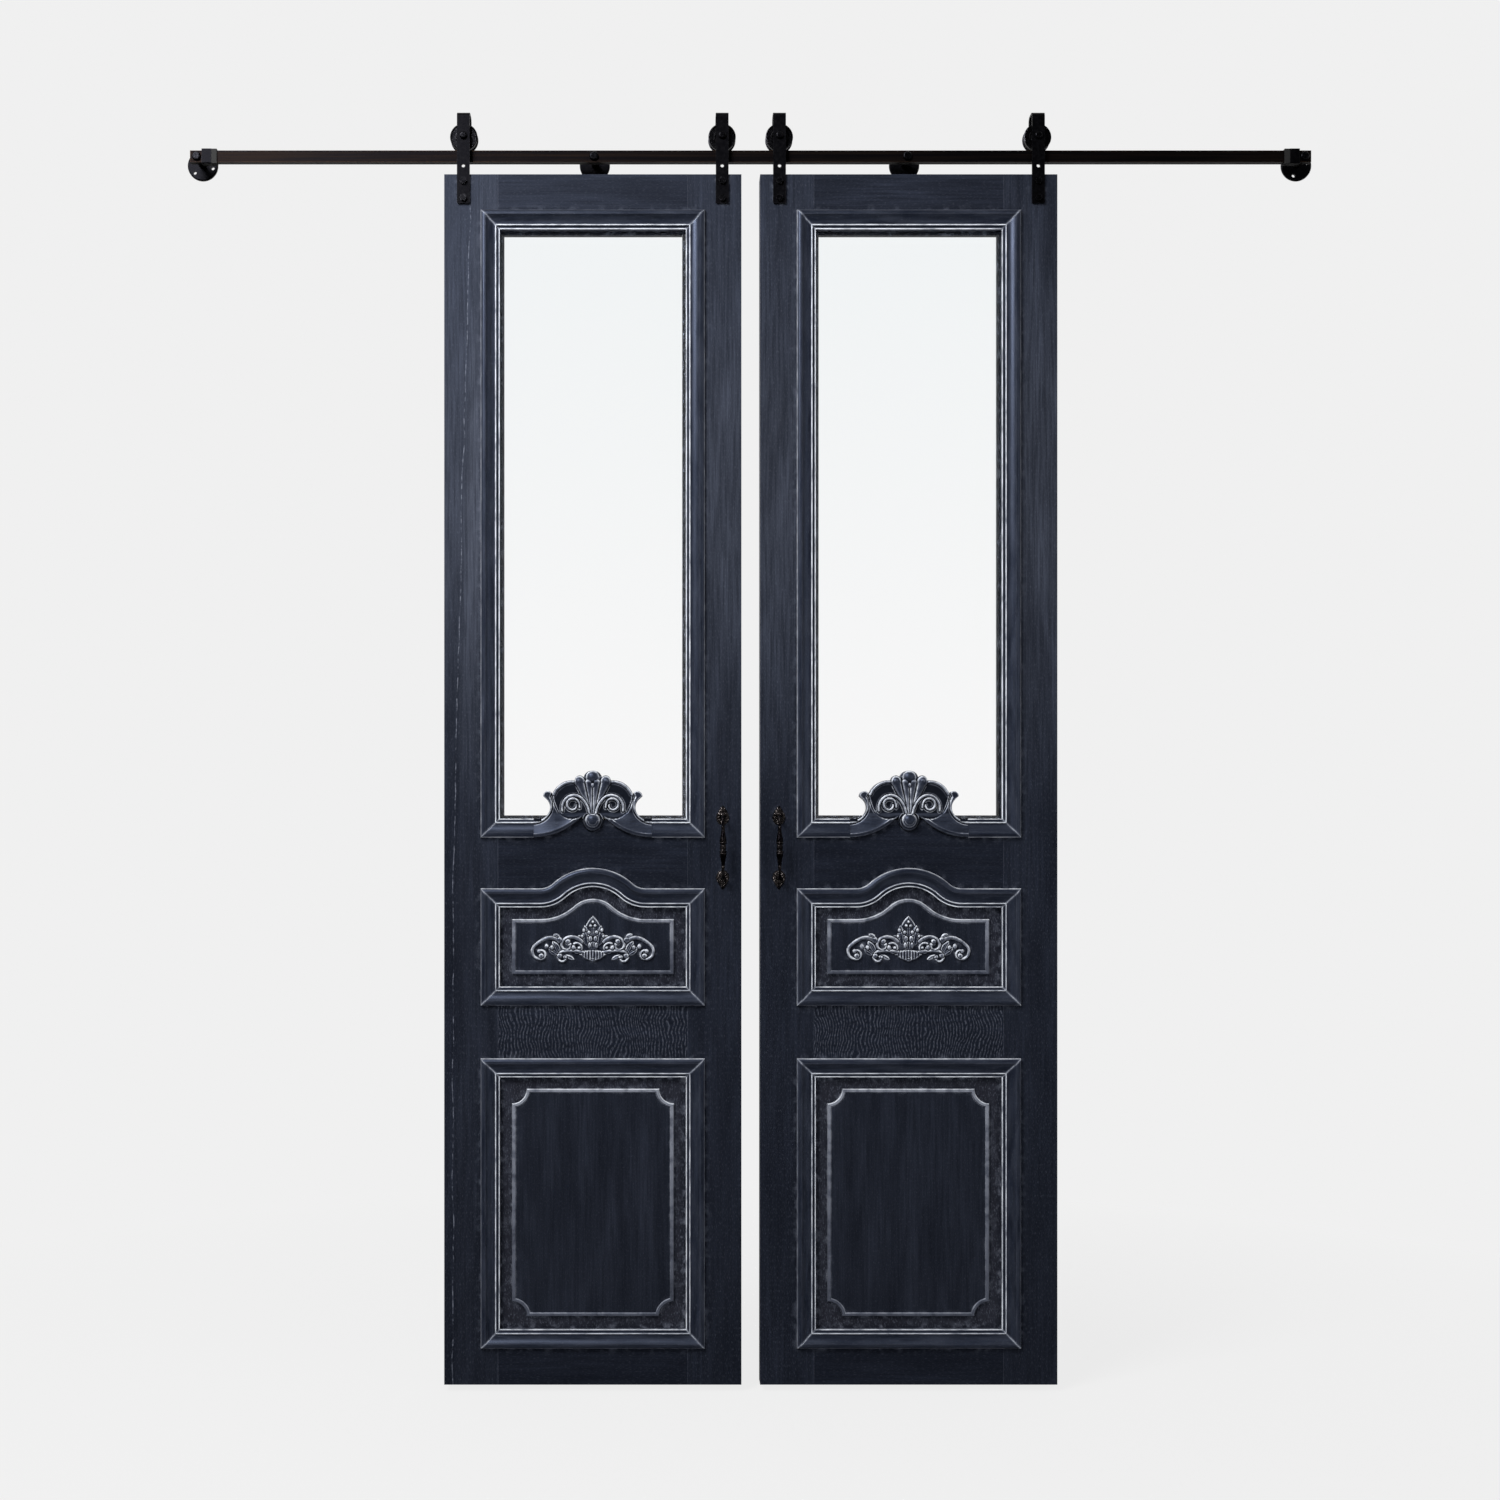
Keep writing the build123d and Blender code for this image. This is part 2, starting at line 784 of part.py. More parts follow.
def ornament():
    """The carved scroll ornament, seated on the raised field."""
    bud, side_leaves = ornament_bud()
    body = raise_from(ornament_leaves(), 0, ornament_leaf_rise)
    body += raise_from(ornament_scrolls(), 0, ornament_scroll_rise)
    body += raise_from(side_leaves, 0, ornament_scroll_rise)
    body += raise_from(bud, 0, ornament_bud_rise)
    body += raise_from(ornament_shell(), 0, ornament_bud_rise)
    body -= raise_from(shell_ribs(), -ornament_leaf_rise, ornament_bud_rise)
    base = leaf_front_y + panel_recess - field_rise
    return Pos(0, base, upper_opening_z + ornament_lift) * body


# Pull handle


def handle_plate_z(sign):
    """Height of the middle of one end plate."""
    return handle_height + sign * (handle_length / 2 - handle_plate_tip)


def handle_screw_z(sign):
    """Height of the screw at one end of the pull, in the plate's pointed half."""
    return handle_plate_z(sign) + sign * handle_plate_tip / 2


def handle_plate(sign):
    """One leaf-shaped end plate, its point away from the grip."""
    half = handle_plate_width / 2
    tip = sign * handle_plate_tip
    foot = -sign * (handle_plate_length - handle_plate_tip)
    right = [
        ThreePointArc((0, tip), (half * 0.62, tip * 0.55), (half, 0)),
        ThreePointArc((half, 0), (half * 0.7, foot * 0.7), (0, foot)),
        Line((0, foot), (0, tip)),
    ]
    face = both_sides(make_face(right))
    return raise_from(face, leaf_front_y, handle_plate_thickness, 0, handle_plate_z(sign))


def handle_grip(half):
    """The turned grip: slim necks that flare into two bells round a knuckle."""
    neck = handle_neck_radius
    knuckle = handle_bell_radius - 1
    bell_start = half * 0.66
    ring_end = handle_knuckle + 1.8
    edges = [Line((0, half), (0, -half))]
    for side in (1, -1):
        bell = (handle_bell_radius, side * ring_end)
        ring = (handle_ring_radius, side * (ring_end + handle_knuckle) / 2)
        waist = (knuckle, side * handle_knuckle)
        edges += [
            Line((0, side * half), (neck, side * half)),
            Line((neck, side * half), (neck, side * bell_start)),
            ThreePointArc((neck, side * bell_start), (neck + 1.2, side * bell_start * 0.55), bell),
            ThreePointArc(bell, ring, waist),
        ]
    edges.append(ThreePointArc((knuckle, handle_knuckle), (knuckle - 1, 0), (knuckle, -handle_knuckle)))
    return revolve(Plane.XZ * make_face(edges), axis=Axis.Z)


def handle():
    """A cast pull: two leaf plates, two posts and a turned grip between them."""
    grip_y = leaf_front_y - handle_reach + handle_ring_radius
    half = handle_length / 2 - handle_plate_tip + handle_neck_radius
    body = Pos(0, grip_y, handle_height) * handle_grip(half)
    for sign in (-1, 1):
        post = rod(handle_post_radius, leaf_front_y, grip_y, 0, handle_plate_z(sign))
        body += handle_plate(sign) + post
        hole = handle_screw_radius + joint_clearance
        body -= rod(hole, leaf_front_y, strap_front_y, 0, handle_screw_z(sign))
    return body


def handle_screws():
    """Two round-headed screws that hold the pull's plates to the stile."""
    front = leaf_front_y - handle_plate_thickness
    pieces = []
    for sign in (-1, 1):
        z = handle_screw_z(sign)
        shank = rod(handle_screw_radius, leaf_front_y, front, 0, z)
        head = rod(handle_screw_head_radius, front, front - handle_screw_head_height, 0, z)
        pieces.append(shank + head)
    return Compound(children=[piece.solid() for piece in pieces])


# Hangers and rollers


def strap():
    """A flat strap bent over at the top, front leg on the leaf, rear leg behind."""
    rear_outer = rear_leg_y + strap_thickness
    rear_bottom = axle_z - strap_under_axle
    mid = (strap_front_y + rear_outer) / 2
    half = strap_width / 2
    outer = block(-half, half, strap_front_y, rear_outer, strap_bottom_z, strap_top_z)
    top_edges = outer.edges().filter_by(Axis.X).sort_by(Axis.Z)[-2:]
    outer = fillet(top_edges, radius=strap_bend_radius + strap_thickness)
    inner_top = strap_top_z - strap_thickness
    under = strap_bottom_z - strap_thickness
    inner = block(-strap_width, strap_width, leaf_front_y, rear_leg_y, under, inner_top)
    inner_edges = inner.edges().filter_by(Axis.X).sort_by(Axis.Z)[-2:]
    inner = fillet(inner_edges, radius=strap_bend_radius)
    below = block(-strap_width, strap_width, mid, 2 * rear_outer, under, rear_bottom)
    body = outer - inner - below
    foot = body.edges().filter_by(Axis.Y).sort_by(Axis.Z)[:2]
    body = fillet(foot, radius=strap_corner_radius)
    heel = body.edges().filter_by(Axis.Y).filter_by(
        lambda edge: abs(edge.center().Z - rear_bottom) < 0.01
    )
    body = fillet(heel, radius=strap_corner_radius)
    for height in strap_hole_heights:
        z = strap_bottom_z + height
        body -= rod(strap_hole_radius, leaf_front_y, strap_front_y, 0, z)
    body -= rod(axle_radius + bolt_clearance, rear_outer, strap_front_y, 0, axle_z)
    return body


def strap_bolts():
    """The bolts that hold both straps to the leaf."""
    pieces = []
    for x in (-strap_x, strap_x):
        for height in strap_hole_heights:
            z = strap_bottom_z + height
            if z < leaf_height:
                end = leaf_front_y + strap_bolt_length - 1
                shank = rod(strap_bolt_radius, end, strap_front_y, x, z)
                head = raise_from(
                    RegularPolygon(bolt_head_radius, 6), strap_front_y, bolt_head_height, x, z
                )
                pieces.append(shank + head)
    return Compound(children=[piece.solid() for piece in pieces])


def axle_bolts():
    """A bolt and nut through each strap, which the wheels turn on."""
    rear_outer = rear_leg_y + strap_thickness
    nut_end = rear_outer + axle_nut_height
    pieces = []
    for x in (-strap_x, strap_x):
        head = rod(axle_head_radius, strap_front_y, strap_front_y - axle_head_height, x, axle_z)
        crown = head.edges().sort_by(Axis.Y)[0]
        head = fillet(crown, radius=axle_head_height * 0.6)
        shank = rod(axle_radius, nut_end, strap_front_y, x, axle_z)
        nut = raise_from(
            RegularPolygon(axle_head_radius + 0.7, 6), nut_end, axle_nut_height, x, axle_z
        )
        pieces.append(head + shank + nut)
    return Compound(children=[piece.solid() for piece in pieces])


def bush():
    """The sleeve in a wheel's hub, which also keeps the wheel in mid strap."""
    y_back = rear_leg_y - side_clearance
    y_front = leaf_front_y + side_clearance
    bore = axle_radius + running_clearance
    return rod(bore + bush_wall, y_back, y_front, 0, axle_z) - rod(bore, y_back, y_front, 0, axle_z)


def wheel():
    """A grooved roller: two flanges, a tread, a dished web and a raised ring."""
    half = wheel_width / 2
    groove = wheel_groove_width / 2
    bore = axle_radius + running_clearance + bush_wall + joint_clearance / 10
    ring_in = wheel_ring_radius - wheel_ring_width
    dish = half - wheel_dish
    side = [
        (bore, half),
        (ring_in - 2, half),
        (ring_in, dish),
        (wheel_ring_radius - 1, half),
        (wheel_ring_radius, half),
        (wheel_ring_radius + 1, dish),
        (wheel_flange_radius - 3, dish),
        (wheel_flange_radius - 1.5, half),
        (wheel_flange_radius, half - 0.8),
        (wheel_flange_radius, groove + 0.6),
        (tread_radius, groove),
    ]
    other = [(r, -h) for r, h in reversed(side)]
    face = make_face(Polyline(*side, *other, close=True))
    turned = revolve(face, axis=Axis.Y)
    return Pos(0, bar_mid_y, axle_z) * turned


# Track


def fixing_places():
    """X of the four wall fixings, left to right."""
    outer = bar_length / 2 - outer_fixing_inset
    return (-outer, -inner_fixing_x, inner_fixing_x, outer)


def track_bar():
    """The bar, drilled for its four bolts."""
    half = bar_length / 2
    low = bar_z - bar_height / 2
    bar = block(-half, half, bar_front_y, bar_back_y, low, bar_top_z)
    for x in fixing_places():
        bar -= rod(track_bolt_radius + bolt_clearance, bar_back_y, bar_front_y, x, bar_z)
    return bar


def wall_flange(x, turn):
    """A round wall plate with a centre hole and a circle of screw holes."""
    plate = rod(flange_radius, wall_y, wall_y - flange_thickness, x, bar_z)
    rim = plate.edges().sort_by(Axis.Y)[0]
    plate = fillet(rim, radius=flange_thickness * 0.4)
    plate -= rod(track_bolt_radius + bolt_clearance, wall_y, wall_y - flange_thickness, x, bar_z)
    for index in range(flange_hole_count):
        angle = math.radians(turn + index * 360.0 / flange_hole_count)
        hole_x = x + flange_hole_circle / 2 * math.cos(angle)
        hole_z = bar_z + flange_hole_circle / 2 * math.sin(angle)
        plate -= rod(flange_hole_radius, wall_y, wall_y - flange_thickness, hole_x, hole_z)
    return plate


def standoffs():
    """The sleeves that hold the bar off the wall plates."""
    front = bar_back_y
    back = wall_y - flange_thickness
    pieces = []
    for x in fixing_places():
        sleeve = rod(standoff_radius, back, front, x, bar_z)
        sleeve -= rod(track_bolt_radius + bolt_clearance, back, front, x, bar_z)
        pieces.append(sleeve)
    return Compound(children=[piece.solid() for piece in pieces])


def track_bolts():
    """Button-headed bolts through the bar and sleeves into the wall plates."""
    pieces = []
    for x in fixing_places():
        front = bar_front_y - track_bolt_head_height
        head = rod(track_bolt_head_radius, bar_front_y, front, x, bar_z)
        crown = head.edges().sort_by(Axis.Y)[0]
        head = fillet(crown, radius=track_bolt_head_height * 0.6)
        shank = rod(track_bolt_radius, wall_y - 1, bar_front_y, x, bar_z)
        pieces.append(head + shank)
    return Compound(children=[piece.solid() for piece in pieces])


def bar_saddle(x0, x1, wall):
    """A U that wraps the bar's top, front and underside."""
    low = bar_z - bar_height / 2
    outer = block(x0, x1, bar_front_y - wall, bar_back_y, low - wall, bar_top_z + wall)
    inner = block(x0, x1, bar_front_y, bar_back_y, low, bar_top_z)
    return outer - inner


def end_stop():
    """The left clip that ends the doors' travel."""
    half = stop_clip_width / 2
    body = bar_saddle(-stop_clip_x - half, -stop_clip_x + half, stop_clip_wall)
    front = body.edges().filter_by(Axis.X).sort_by(Axis.Y)[:2]
    return fillet(front, radius=stop_clip_wall * 0.6)


def bumper():
    """The left rubber saddle beside the clip."""
    x0 = -stop_clip_x + stop_clip_width / 2
    return bar_saddle(x0, x0 + bumper_width, bumper_wall)


# Putting it together


def leaf_nodes(name, side):
    """All nodes of one door, name to shape; side is -1 for the left door."""
    pockets = leaf_pockets()
    nodes = {
        "stile_outer": stile(side, pockets),
        "stile_inner": stile(-side, pockets),
    }
    for rail_name, z0, z1 in rail_spans():
        make = lock_rail if rail_name == "lock_rail" else rail
        nodes[rail_name] = make(z0, z1, pockets)
    handle_x = -side * (leaf_width / 2 - handle_inset)
    nodes["upper_panel"] = upper_panel()
    nodes["lower_panel"] = lower_panel()
    nodes["glass"] = glass()
    nodes["glass_stops"] = glass_stops()
    nodes["lite_moulding"] = lite_moulding()
    nodes["lite_crest"] = crest()
    nodes["upper_moulding"] = panel_moulding(upper_opening_z, upper_opening_height, True)
    nodes["lower_moulding"] = panel_moulding(lower_opening_z, lower_opening_height, False)
    nodes["applique"] = ornament()
    nodes["handle"] = Pos(handle_x, 0, 0) * handle()
    nodes["handle_screws"] = Pos(handle_x, 0, 0) * handle_screws()
    nodes["strap_bolts"] = strap_bolts()
    nodes["axle_bolts"] = axle_bolts()
    for place, x in (("outer", side * strap_x), ("inner", -side * strap_x)):
        nodes["strap_" + place] = Pos(x, 0, 0) * strap()
        nodes["wheel_" + place] = Pos(x, 0, 0) * wheel()
        nodes["bush_" + place] = Pos(x, 0, 0) * bush()
    shift = Pos(side * leaf_x, 0, 0)
    return {name + "_" + key: shift * shape for key, shape in nodes.items()}


def track_nodes():
    """All nodes that stay on the wall."""
    nodes = {
        "track_bar": track_bar(),
        "standoffs": standoffs(),
        "track_bolts": track_bolts(),
        "end_stop_left": end_stop(),
        "end_stop_right": mirrored(end_stop()),
    }
    for index, x in enumerate(fixing_places()):
        nodes["wall_flange_" + str(index + 1)] = wall_flange(x, flange_turns[index])
    pair = [bumper(), mirrored(bumper())]
    nodes["bumpers"] = Compound(children=[piece.solid() for piece in pair])
    return nodes


os.makedirs("parts", exist_ok=True)
model = track_nodes()
model.update(leaf_nodes("left", -1))
model.update(leaf_nodes("right", 1))
for node, shape in model.items():
    export_step(shape, "parts/" + node + ".step")
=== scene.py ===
import math
from functools import partial

import bpy
import numpy as np
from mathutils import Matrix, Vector
from mathutils.geometry import delaunay_2d_cdt


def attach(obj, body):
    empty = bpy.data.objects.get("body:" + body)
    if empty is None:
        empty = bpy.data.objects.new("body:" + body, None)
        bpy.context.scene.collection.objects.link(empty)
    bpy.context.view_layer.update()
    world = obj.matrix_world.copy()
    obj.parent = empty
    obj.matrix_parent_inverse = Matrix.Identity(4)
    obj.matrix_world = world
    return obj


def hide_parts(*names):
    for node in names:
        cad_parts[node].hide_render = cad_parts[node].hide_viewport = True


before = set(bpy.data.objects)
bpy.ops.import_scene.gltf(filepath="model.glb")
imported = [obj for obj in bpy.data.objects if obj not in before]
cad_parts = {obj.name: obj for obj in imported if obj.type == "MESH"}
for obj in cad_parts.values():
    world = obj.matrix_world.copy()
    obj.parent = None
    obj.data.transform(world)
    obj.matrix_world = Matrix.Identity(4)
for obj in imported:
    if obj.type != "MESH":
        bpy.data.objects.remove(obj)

bl_info = {
    "name": "Barn doors",
    "version": (1, 0, 0),
    "blender": (4, 5, 0),
    "location": "3D View > Sidebar > Barn doors",
    "description": "Carving, mouldings, pulls, finishes and studio for a pair of sliding doors",
    "category": "Object",
}

# Places that the pieces share, in millimetres from the middle of a leaf's foot

LEAF_FRONT = -12.0
LEAF_X = {"left": -278.5, "right": 278.5}
OPENING_HALF = 167.0
MOULDING_COVER = 30.5
LOWER_OPENING = (95.0, 545.0)
UPPER_OPENING = (699.0, 844.5)
LITE_OPENING = (995.0, 2040.0)
ARCH_RISE = 36.0
ARCH_HALF_SPAN = 93.0
ARCH_FOOT_RADIUS = 34.0
PANEL_DROP = 9.8  # from the leaf's front down to the panel
LITE_DROP = 11.8  # and down to the glass
CREST_HALF = 104.0
CREST_BASE = 1000.0
FIELD_FRONT = -5.5  # front of the upper panel's raised field
ORNAMENT_BASE = 745.2
PULL_X = 229.0
PULL_Z = 947.0
PULL_POST = 53.0
STICK_GAP = 0.2


def mm(value):
    """Millimetres as metres."""
    return value * 0.001


def linear(code):
    """An sRGB hex colour as linear RGBA."""
    parts = (int(code[i : i + 2], 16) / 255 for i in (1, 3, 5))
    rgb = [c / 12.92 if c <= 0.04045 else ((c + 0.055) / 1.055) ** 2.4 for c in parts]
    return (*rgb, 1.0)


# Settings that a user would change


def colour(name, description, code):
    """A colour property with its default."""
    return bpy.props.FloatVectorProperty(
        name=name,
        description=description,
        subtype="COLOR",
        size=4,
        min=0,
        max=1,
        default=linear(code),
    )


def length(name, description, size):
    """A length property with its default, given in millimetres."""
    return bpy.props.FloatProperty(
        name=name, description=description, unit="LENGTH", min=0, default=mm(size)
    )


def amount(name, description, value):
    """A plain number as a property with its default."""
    return bpy.props.FloatProperty(name=name, description=description, min=0, default=value)


class BarnDoorWood(bpy.types.PropertyGroup):
    """Colours and grain of the waxed wood."""

    stain: colour("Stain", "Ebonising stain where it lies darkest", "#0B0E16")
    stain_worn: colour("Worn stain", "Stain where it is rubbed thin", "#1B202D")
    wax: colour("Lime wax", "Pale wax left on edges and in the pores", "#E2E7F0")
    wax_thin: colour("Thin wax", "Bluish film where the wax is rubbed almost away", "#B0B7CB")
    bare: colour("Bare wood", "Brown wood in the scraped recesses", "#2A2629")
    streak_width: length("Streak width", "Width of one band of grain", 3.2)
    streak_length: length("Streak length", "Length of one band of grain", 85)
    pore_width: length("Pore width", "Width of an open pore, drawn coarse enough to show", 1.0)
    pore_length: length("Pore length", "Length of an open pore", 6)
    edge: length("Waxed edge", "How far the wax reaches round an edge", 1.3)


class BarnDoorCarving(bpy.types.PropertyGroup):
    """Fineness of the carving."""

    crest_step: length("Crest step", "Distance between points on the crest", 0.8)
    ornament_step: length("Ornament step", "Distance between points on the scroll ornament", 0.6)


class BarnDoorMetal(bpy.types.PropertyGroup):
    """Colours of the metal and rubber parts."""

    iron: colour("Blackened iron", "Oiled black of the straps and flanges", "#0F0F12")
    iron_rubbed: colour("Rubbed iron", "Grey where the black is rubbed off an edge", "#3A393C")
    bright: colour("Bright iron", "Grey on the arrises of bolts and wheels", "#6E6E74")
    bronze: colour("Bronzed steel", "Dark face of the bar", "#100E10")
    bronze_rubbed: colour("Rubbed bronze", "Brown that shows along the bar's edges", "#5A4532")
    cast: colour("Cast iron", "Black of the pulls", "#0F0D10")
    cast_rubbed: colour("Rubbed cast iron", "Grey on the pulls' high points", "#A79E9C")
    brass: colour("Brass", "Bearing brass of the wheel bushes", "#8A6A35")
    brass_rubbed: colour("Rubbed brass", "Paler brass along the bushes' edges", "#B08D4E")
    rubber: colour("Rubber", "Moulded rubber of the buffers", "#09090A")


class BarnDoorStage(bpy.types.PropertyGroup):
    """Studio round the doors."""

    backdrop: colour("Backdrop", "Pale ground behind and under the doors", "#F0F0F0")
    camera_distance: length("Camera distance", "From the leaf's front to the lens", 3450)
    camera_height: length("Camera height", "Lens above the foot of the leaf", 907)
    camera_side: length("Camera offset", "Lens to the left of the middle", 146)
    view_width: length("View width", "Width seen at the leaf's front", 2644.5)
    floor_gap: length("Floor gap", "Air between the floor and the leaves", 12)
    key_power: amount("Key power", "Large soft lamp at the upper left", 190)
    fill_power: amount("Fill power", "Large soft lamp at the right", 14)
    ambient: amount("Ambient", "Even light from all round", 0.32)
    room: amount("Room", "Brightness of the room in front, as mirrored by the doors", 0.1)


# Small tools for meshes and materials


def arc_through(a, b, c, step):
    """Points along the arc through three points, at about the given spacing."""
    (ax, ay), (bx, by), (cx, cy) = a, b, c
    d = 2 * (ax * (by - cy) + bx * (cy - ay) + cx * (ay - by))
    aa, bb, cc = ax**2 + ay**2, bx**2 + by**2, cx**2 + cy**2
    ux = (aa * (by - cy) + bb * (cy - ay) + cc * (ay - by)) / d
    uy = (aa * (cx - bx) + bb * (ax - cx) + cc * (bx - ax)) / d
    radius = math.hypot(ax - ux, ay - uy)
    start, middle, end = (math.atan2(y - uy, x - ux) for x, y in (a, b, c))
    turn = (end - start) % math.tau
    if (middle - start) % math.tau > turn:
        turn -= math.tau
    count = max(2, math.ceil(abs(turn) * radius / step) + 1)
    angles = np.linspace(start, start + turn, count)
    return [(ux + radius * math.cos(t), uy + radius * math.sin(t)) for t in angles]


def arc_chain(arcs, step):
    """Points along arcs that meet end to end."""
    points = []
    for arc in arcs:
        points += arc_through(*arc, step)[1 if points else 0 :]
    return points


def turning_line(start, heading, turns, step):
    """Points along a chain of tangent arcs; turns lists the radius and angle of each."""
    x, y = start
    points = [start]
    heading = math.radians(heading)
    for radius, turn in turns:
        turn = math.radians(turn)
        side = math.copysign(radius, turn)
        cx, cy = x - side * math.sin(heading), y + side * math.cos(heading)
        count = max(2, math.ceil(abs(turn) * radius / step))
        for angle in (heading + turn * index / count for index in range(1, count + 1)):
            points.append((cx + side * math.sin(angle), cy - side * math.cos(angle)))
        heading += turn
        x, y = points[-1]
    return points


def nearest(points, line):
    """Distance from each point to a line of points, and the share of the line passed there."""
    line = np.array(line, float)
    best = np.full(len(points), 1e9)
    share = np.zeros(len(points))
    for index in range(len(line) - 1):
        a, ab = line[index], line[index + 1] - line[index]
        part = np.clip((points - a) @ ab / (ab @ ab), 0, 1)
        gap = np.hypot(*(points - a - part[:, None] * ab).T)
        near = gap < best
        best[near] = gap[near]
        share[near] = (index + part[near]) / (len(line) - 1)
    return best, share


def smooth_step(low, high, value):
    """0 below low, 1 above high, with soft ends."""
    share = np.clip((value - low) / (high - low), 0, 1)
    return share * share * (3 - 2 * share)


def joined(first, second):
    """Two lists of vertices and faces as one."""
    (points, sides), (vertices, faces) = first, second
    return points + vertices, sides + [tuple(i + len(points) for i in face) for face in faces]


def grid(low, high, step):
    """The values along each side of a grid and its points, row by row."""
    xs, zs = (np.arange(low[i], high[i], step) for i in (0, 1))
    return xs, zs, np.array([(x, z) for z in zs for x in xs])


def sheet_faces(heights, columns, floor):
    """A grid's squares that have a corner over the floor, and the points that they use in order."""
    faces, used = [], {}
    for index in range(len(heights) - columns):
        corners = (index, index + 1, index + 1 + columns, index + columns)
        if (index + 1) % columns and max(heights[i] for i in corners) > floor:
            faces.append(tuple(used.setdefault(i, len(used)) for i in corners))
    return faces, list(used)


def make_piece(name, vertices, faces, side, material, node, attributes=()):
    """A mesh piece that stands for a CAD node and rides on a door.

    Vertices are in millimetres from the middle of the leaf's foot.
    """
    mesh = bpy.data.meshes.new(name)
    places = np.array(vertices, float) + (LEAF_X[side], 0, 0)
    mesh.from_pydata((places * 0.001).tolist(), [], faces)
    for label, values in dict(attributes).items():
        layer = mesh.attributes.new(label, "FLOAT", "POINT")
        layer.data.foreach_set("value", np.array(values, np.float32))
    mesh.polygons.foreach_set("use_smooth", [True] * len(mesh.polygons))
    mesh.set_sharp_from_angle(angle=math.radians(38))
    mesh.materials.append(material)
    piece = bpy.data.objects.new(name, mesh)
    bpy.context.collection.objects.link(piece)
    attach(piece, side + "_door")
    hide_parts(node)


# Nodes by short names: kind, input sockets in order, output socket, settings if any

NODES = {
    "place": ("TexCoord", (), "Object"),
    "direction": ("TexCoord", (), "Generated"),
    "facing": ("NewGeometry", (), "True Normal"),
    "rounded": ("Bevel", ("Radius",), "Normal", {"samples": 6}),
    "openness": ("AmbientOcclusion", ("Distance",), "AO", {"samples": 4}),
    "attribute": ("Attribute", (), "Fac"),
    "ray": ("LightPath", (), "Is Camera Ray"),
    "part": ("SeparateXYZ", ("Vector",), "Z"),
    "joined": ("CombineXYZ", ("X", "Z"), "Vector"),
    "scaled": ("Mapping", ("Vector", "Scale"), "Vector"),
    "noise": ("TexNoise", ("Vector", "Scale", "Detail", "Roughness"), "Fac"),
    "bands": ("TexWave", ("Vector", "Scale", "Distortion", "Detail", "Detail Scale"), "Fac"),
    "times": ("Math", (0, 1), 0, {"operation": "MULTIPLY"}),
    "plus": ("Math", (0, 1), 0, {"operation": "ADD"}),
    "minus": ("Math", (0, 1), 0, {"operation": "SUBTRACT"}),
    "greatest": ("Math", (0, 1), 0, {"operation": "MAXIMUM"}),
    "exceeds": ("Math", (0, 1), 0, {"operation": "GREATER_THAN"}),
    "size": ("Math", (0,), 0, {"operation": "ABSOLUTE"}),
    "dot": ("VectorMath", (0, 1), "Value", {"operation": "DOT_PRODUCT"}),
    "length": ("VectorMath", (0,), "Value", {"operation": "LENGTH"}),
    "ramp": ("MapRange", ("Value", "From Min", "From Max", "To Min", "To Max"), "Result"),
    "blend": ("Mix", (0, 6, 7), 2, {"data_type": "RGBA"}),
    "bump": ("Bump", ("Height", "Distance", "Strength"), "Normal"),
    "waxed": (
        "BsdfPrincipled",
        ("Base Color", "Roughness", "Normal", "Specular IOR Level", "Specular Tint"),
        "BSDF",
    ),
    "plain": ("BsdfPrincipled", ("Base Color", "Roughness", "Normal", "Metallic"), "BSDF"),
    "clear": ("BsdfPrincipled", ("Base Color", "Roughness", "Transmission Weight", "IOR"), "BSDF"),
    "matt": ("BsdfDiffuse", ("Color",), "BSDF"),
    "glow": ("Emission", ("Color", "Strength"), "Emission"),
    "sky": ("Background", ("Color", "Strength"), "Background"),
    "either": ("MixShader", (0, 1, 2), "Shader"),
    "surface": ("OutputMaterial", ("Surface",), None),
    "surround": ("OutputWorld", ("Surface",), None),
}


def add_node(tree, name, *inputs, out=None, **settings):
    """Adds a node with its settings and links, and gives its output.

    An input is a value or another node's output. Where there are more inputs than
    sockets, like nodes follow in a chain and take the rest.
    """
    kind, sockets, output, *fixed = NODES[name]
    node = tree.nodes.new("ShaderNode" + kind)
    for pairs in (*fixed, settings):
        for key, value in pairs.items():
            setattr(node, key, value)
    for socket, value in zip(sockets, inputs):
        if isinstance(value, bpy.types.NodeSocket):
            tree.links.new(value, node.inputs[socket])
        else:
            node.inputs[socket].default_value = value
    if output is None:
        return None
    result = node.outputs[out or output]
    rest = inputs[len(sockets) :]
    return add_node(tree, name, result, *rest) if rest else result


def fresh_nodes(owner):
    """Empties an owner's node tree and gives the function that adds to it."""
    owner.use_nodes = True
    owner.node_tree.nodes.clear()
    return partial(add_node, owner.node_tree)


def stretched_noise(add, place, sizes, detail, rough=0.55):
    """Noise whose patches have the given sizes in metres along x, y and z."""
    scaled = add("scaled", place, tuple(1 / size for size in sizes))
    return add("noise", scaled, 1.0, detail, rough)


def edge_mask(add, radius):
    """1 along edges, from how far a rounded normal turns from the true one."""
    turned = add("minus", 1.0, add("dot", add("rounded", radius), add("facing")))
    return add("ramp", turned, 0.002, 0.12)


# Waxed wood

GLEAM = "#C0D0F6"  # the cool sheen of polished wax over a dark stain
# painted shade: near black, put in the deepest hollows of the carving
HOLLOW_SHADE = "#050609"  # in the deepest hollows of the carving
